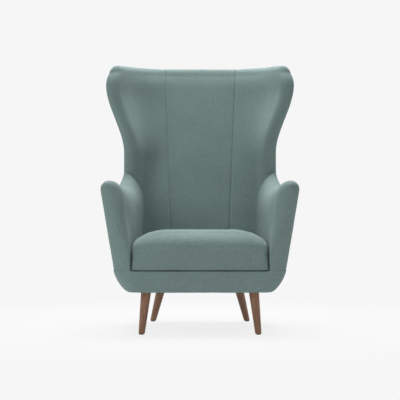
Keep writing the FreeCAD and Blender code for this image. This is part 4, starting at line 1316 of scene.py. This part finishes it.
BACKDROP = 0.921
AMBIENT = 0.34
FLOOR_SIZE = 60.0
FLOOR_PAINT = 0.90
FLOOR_SHADE = 0.10
FLOOR_SHADE_REACH = 0.3
FLOOR_FADE = 1.6
LAMP_TARGET = Vector((0.0, -0.1, 0.55))
CAMERA_DISTANCE = 5.545
CAMERA_Z = 0.52
CAMERA_LENS = 121.1
CAMERA_SENSOR = 36.0


def grey(level):
    return (level, level, level, 1.0)


def mix_shader(tree, factor, first, second):
    made = tree.nodes.new("ShaderNodeMixShader")
    for socket, value in zip(made.inputs, (factor, first, second)):
        tree.links.new(value, socket)
    return made.outputs[0]


def camera_share(tree):
    """1 for rays that show the backdrop: seen directly, in gloss or through glass."""
    path = tree.nodes.new("ShaderNodeLightPath")
    seen = math_node(tree, "MAXIMUM", path.outputs["Is Camera Ray"], path.outputs["Is Glossy Ray"])
    return math_node(tree, "MAXIMUM", seen, path.outputs["Is Transmission Ray"])


def studio_world():
    """White backdrop where it is seen, and an even, dimmer light where it lights the chair."""
    world = bpy.data.worlds.new("studio")
    world.use_nodes = True
    bpy.context.scene.world = world
    tree = world.node_tree
    tree.nodes.clear()
    shown = node(tree, "ShaderNodeBackground", Color=grey(BACKDROP), Strength=1.0)
    light = node(tree, "ShaderNodeBackground", Color=grey(1.0), Strength=AMBIENT)
    mixed = mix_shader(tree, camera_share(tree), light.outputs[0], shown.outputs[0])
    output = tree.nodes.new("ShaderNodeOutputWorld")
    tree.links.new(mixed, output.inputs["Surface"])


def studio_floor():
    """Pale floor that melts into the backdrop and keeps the chair's soft shadow."""
    bm = bmesh.new()
    bmesh.ops.create_grid(bm, x_segments=2, y_segments=2, size=FLOOR_SIZE / 2)
    floor = new_object("floor", bm)
    material, tree, _ = new_material("floor_paint")
    tree.nodes.clear()
    reach = tree.nodes.new("ShaderNodeVectorMath")
    reach.operation = "LENGTH"
    tree.links.new(object_place(tree), reach.inputs[0])
    fade = node(tree, "ShaderNodeMapRange", From_Min=FLOOR_SHADE_REACH, From_Max=FLOOR_FADE,
                To_Min=FLOOR_SHADE, To_Max=0.0)
    tree.links.new(reach.outputs["Value"], fade.inputs["Value"])
    glow = node(tree, "ShaderNodeEmission", Color=grey(BACKDROP), Strength=1.0)
    paint = node(tree, "ShaderNodeBsdfDiffuse", Color=grey(FLOOR_PAINT))
    shaded = mix_shader(tree, fade.outputs["Result"], glow.outputs[0], paint.outputs[0])
    mixed = mix_shader(tree, camera_share(tree), paint.outputs[0], shaded)
    output = tree.nodes.new("ShaderNodeOutputMaterial")
    tree.links.new(mixed, output.inputs["Surface"])
    floor.data.materials.append(material)


def area_lamp(name, place, size, power):
    data = bpy.data.lights.new(name, "AREA")
    data.shape = "SQUARE"
    data.size = size
    data.energy = power
    lamp = link(name, data)
    lamp.location = place
    lamp.rotation_mode = "QUATERNION"
    lamp.rotation_quaternion = (LAMP_TARGET - Vector(place)).to_track_quat("-Z", "Y")


def studio_lamps():
    area_lamp("top_softbox", place=(0.0, 0.8, 3.1), size=2.2, power=162.0)
    area_lamp("left_softbox", place=(-2.2, -2.6, 1.8), size=1.8, power=31.0)


def studio_camera():
    data = bpy.data.cameras.new("camera")
    data.lens = CAMERA_LENS
    data.sensor_width = CAMERA_SENSOR
    camera = link("camera", data)
    camera.location = (0.0, -CAMERA_DISTANCE, CAMERA_Z)
    camera.rotation_euler = (pi / 2, 0.0, 0.0)
    bpy.context.scene.camera = camera


def main():
    bpy.context.scene.view_settings.view_transform = "Standard"
    dress_frame()
    for build in (centre_panel, side_panels, outside_back, arms, base_band, hessian_sheet, deck_pad,
                  webbing_straps, deck, dust_cover, seat_cushion, zip_tape, zip_teeth, zip_slider,
                  studio_world, studio_floor, studio_lamps, studio_camera):
        build()


main()
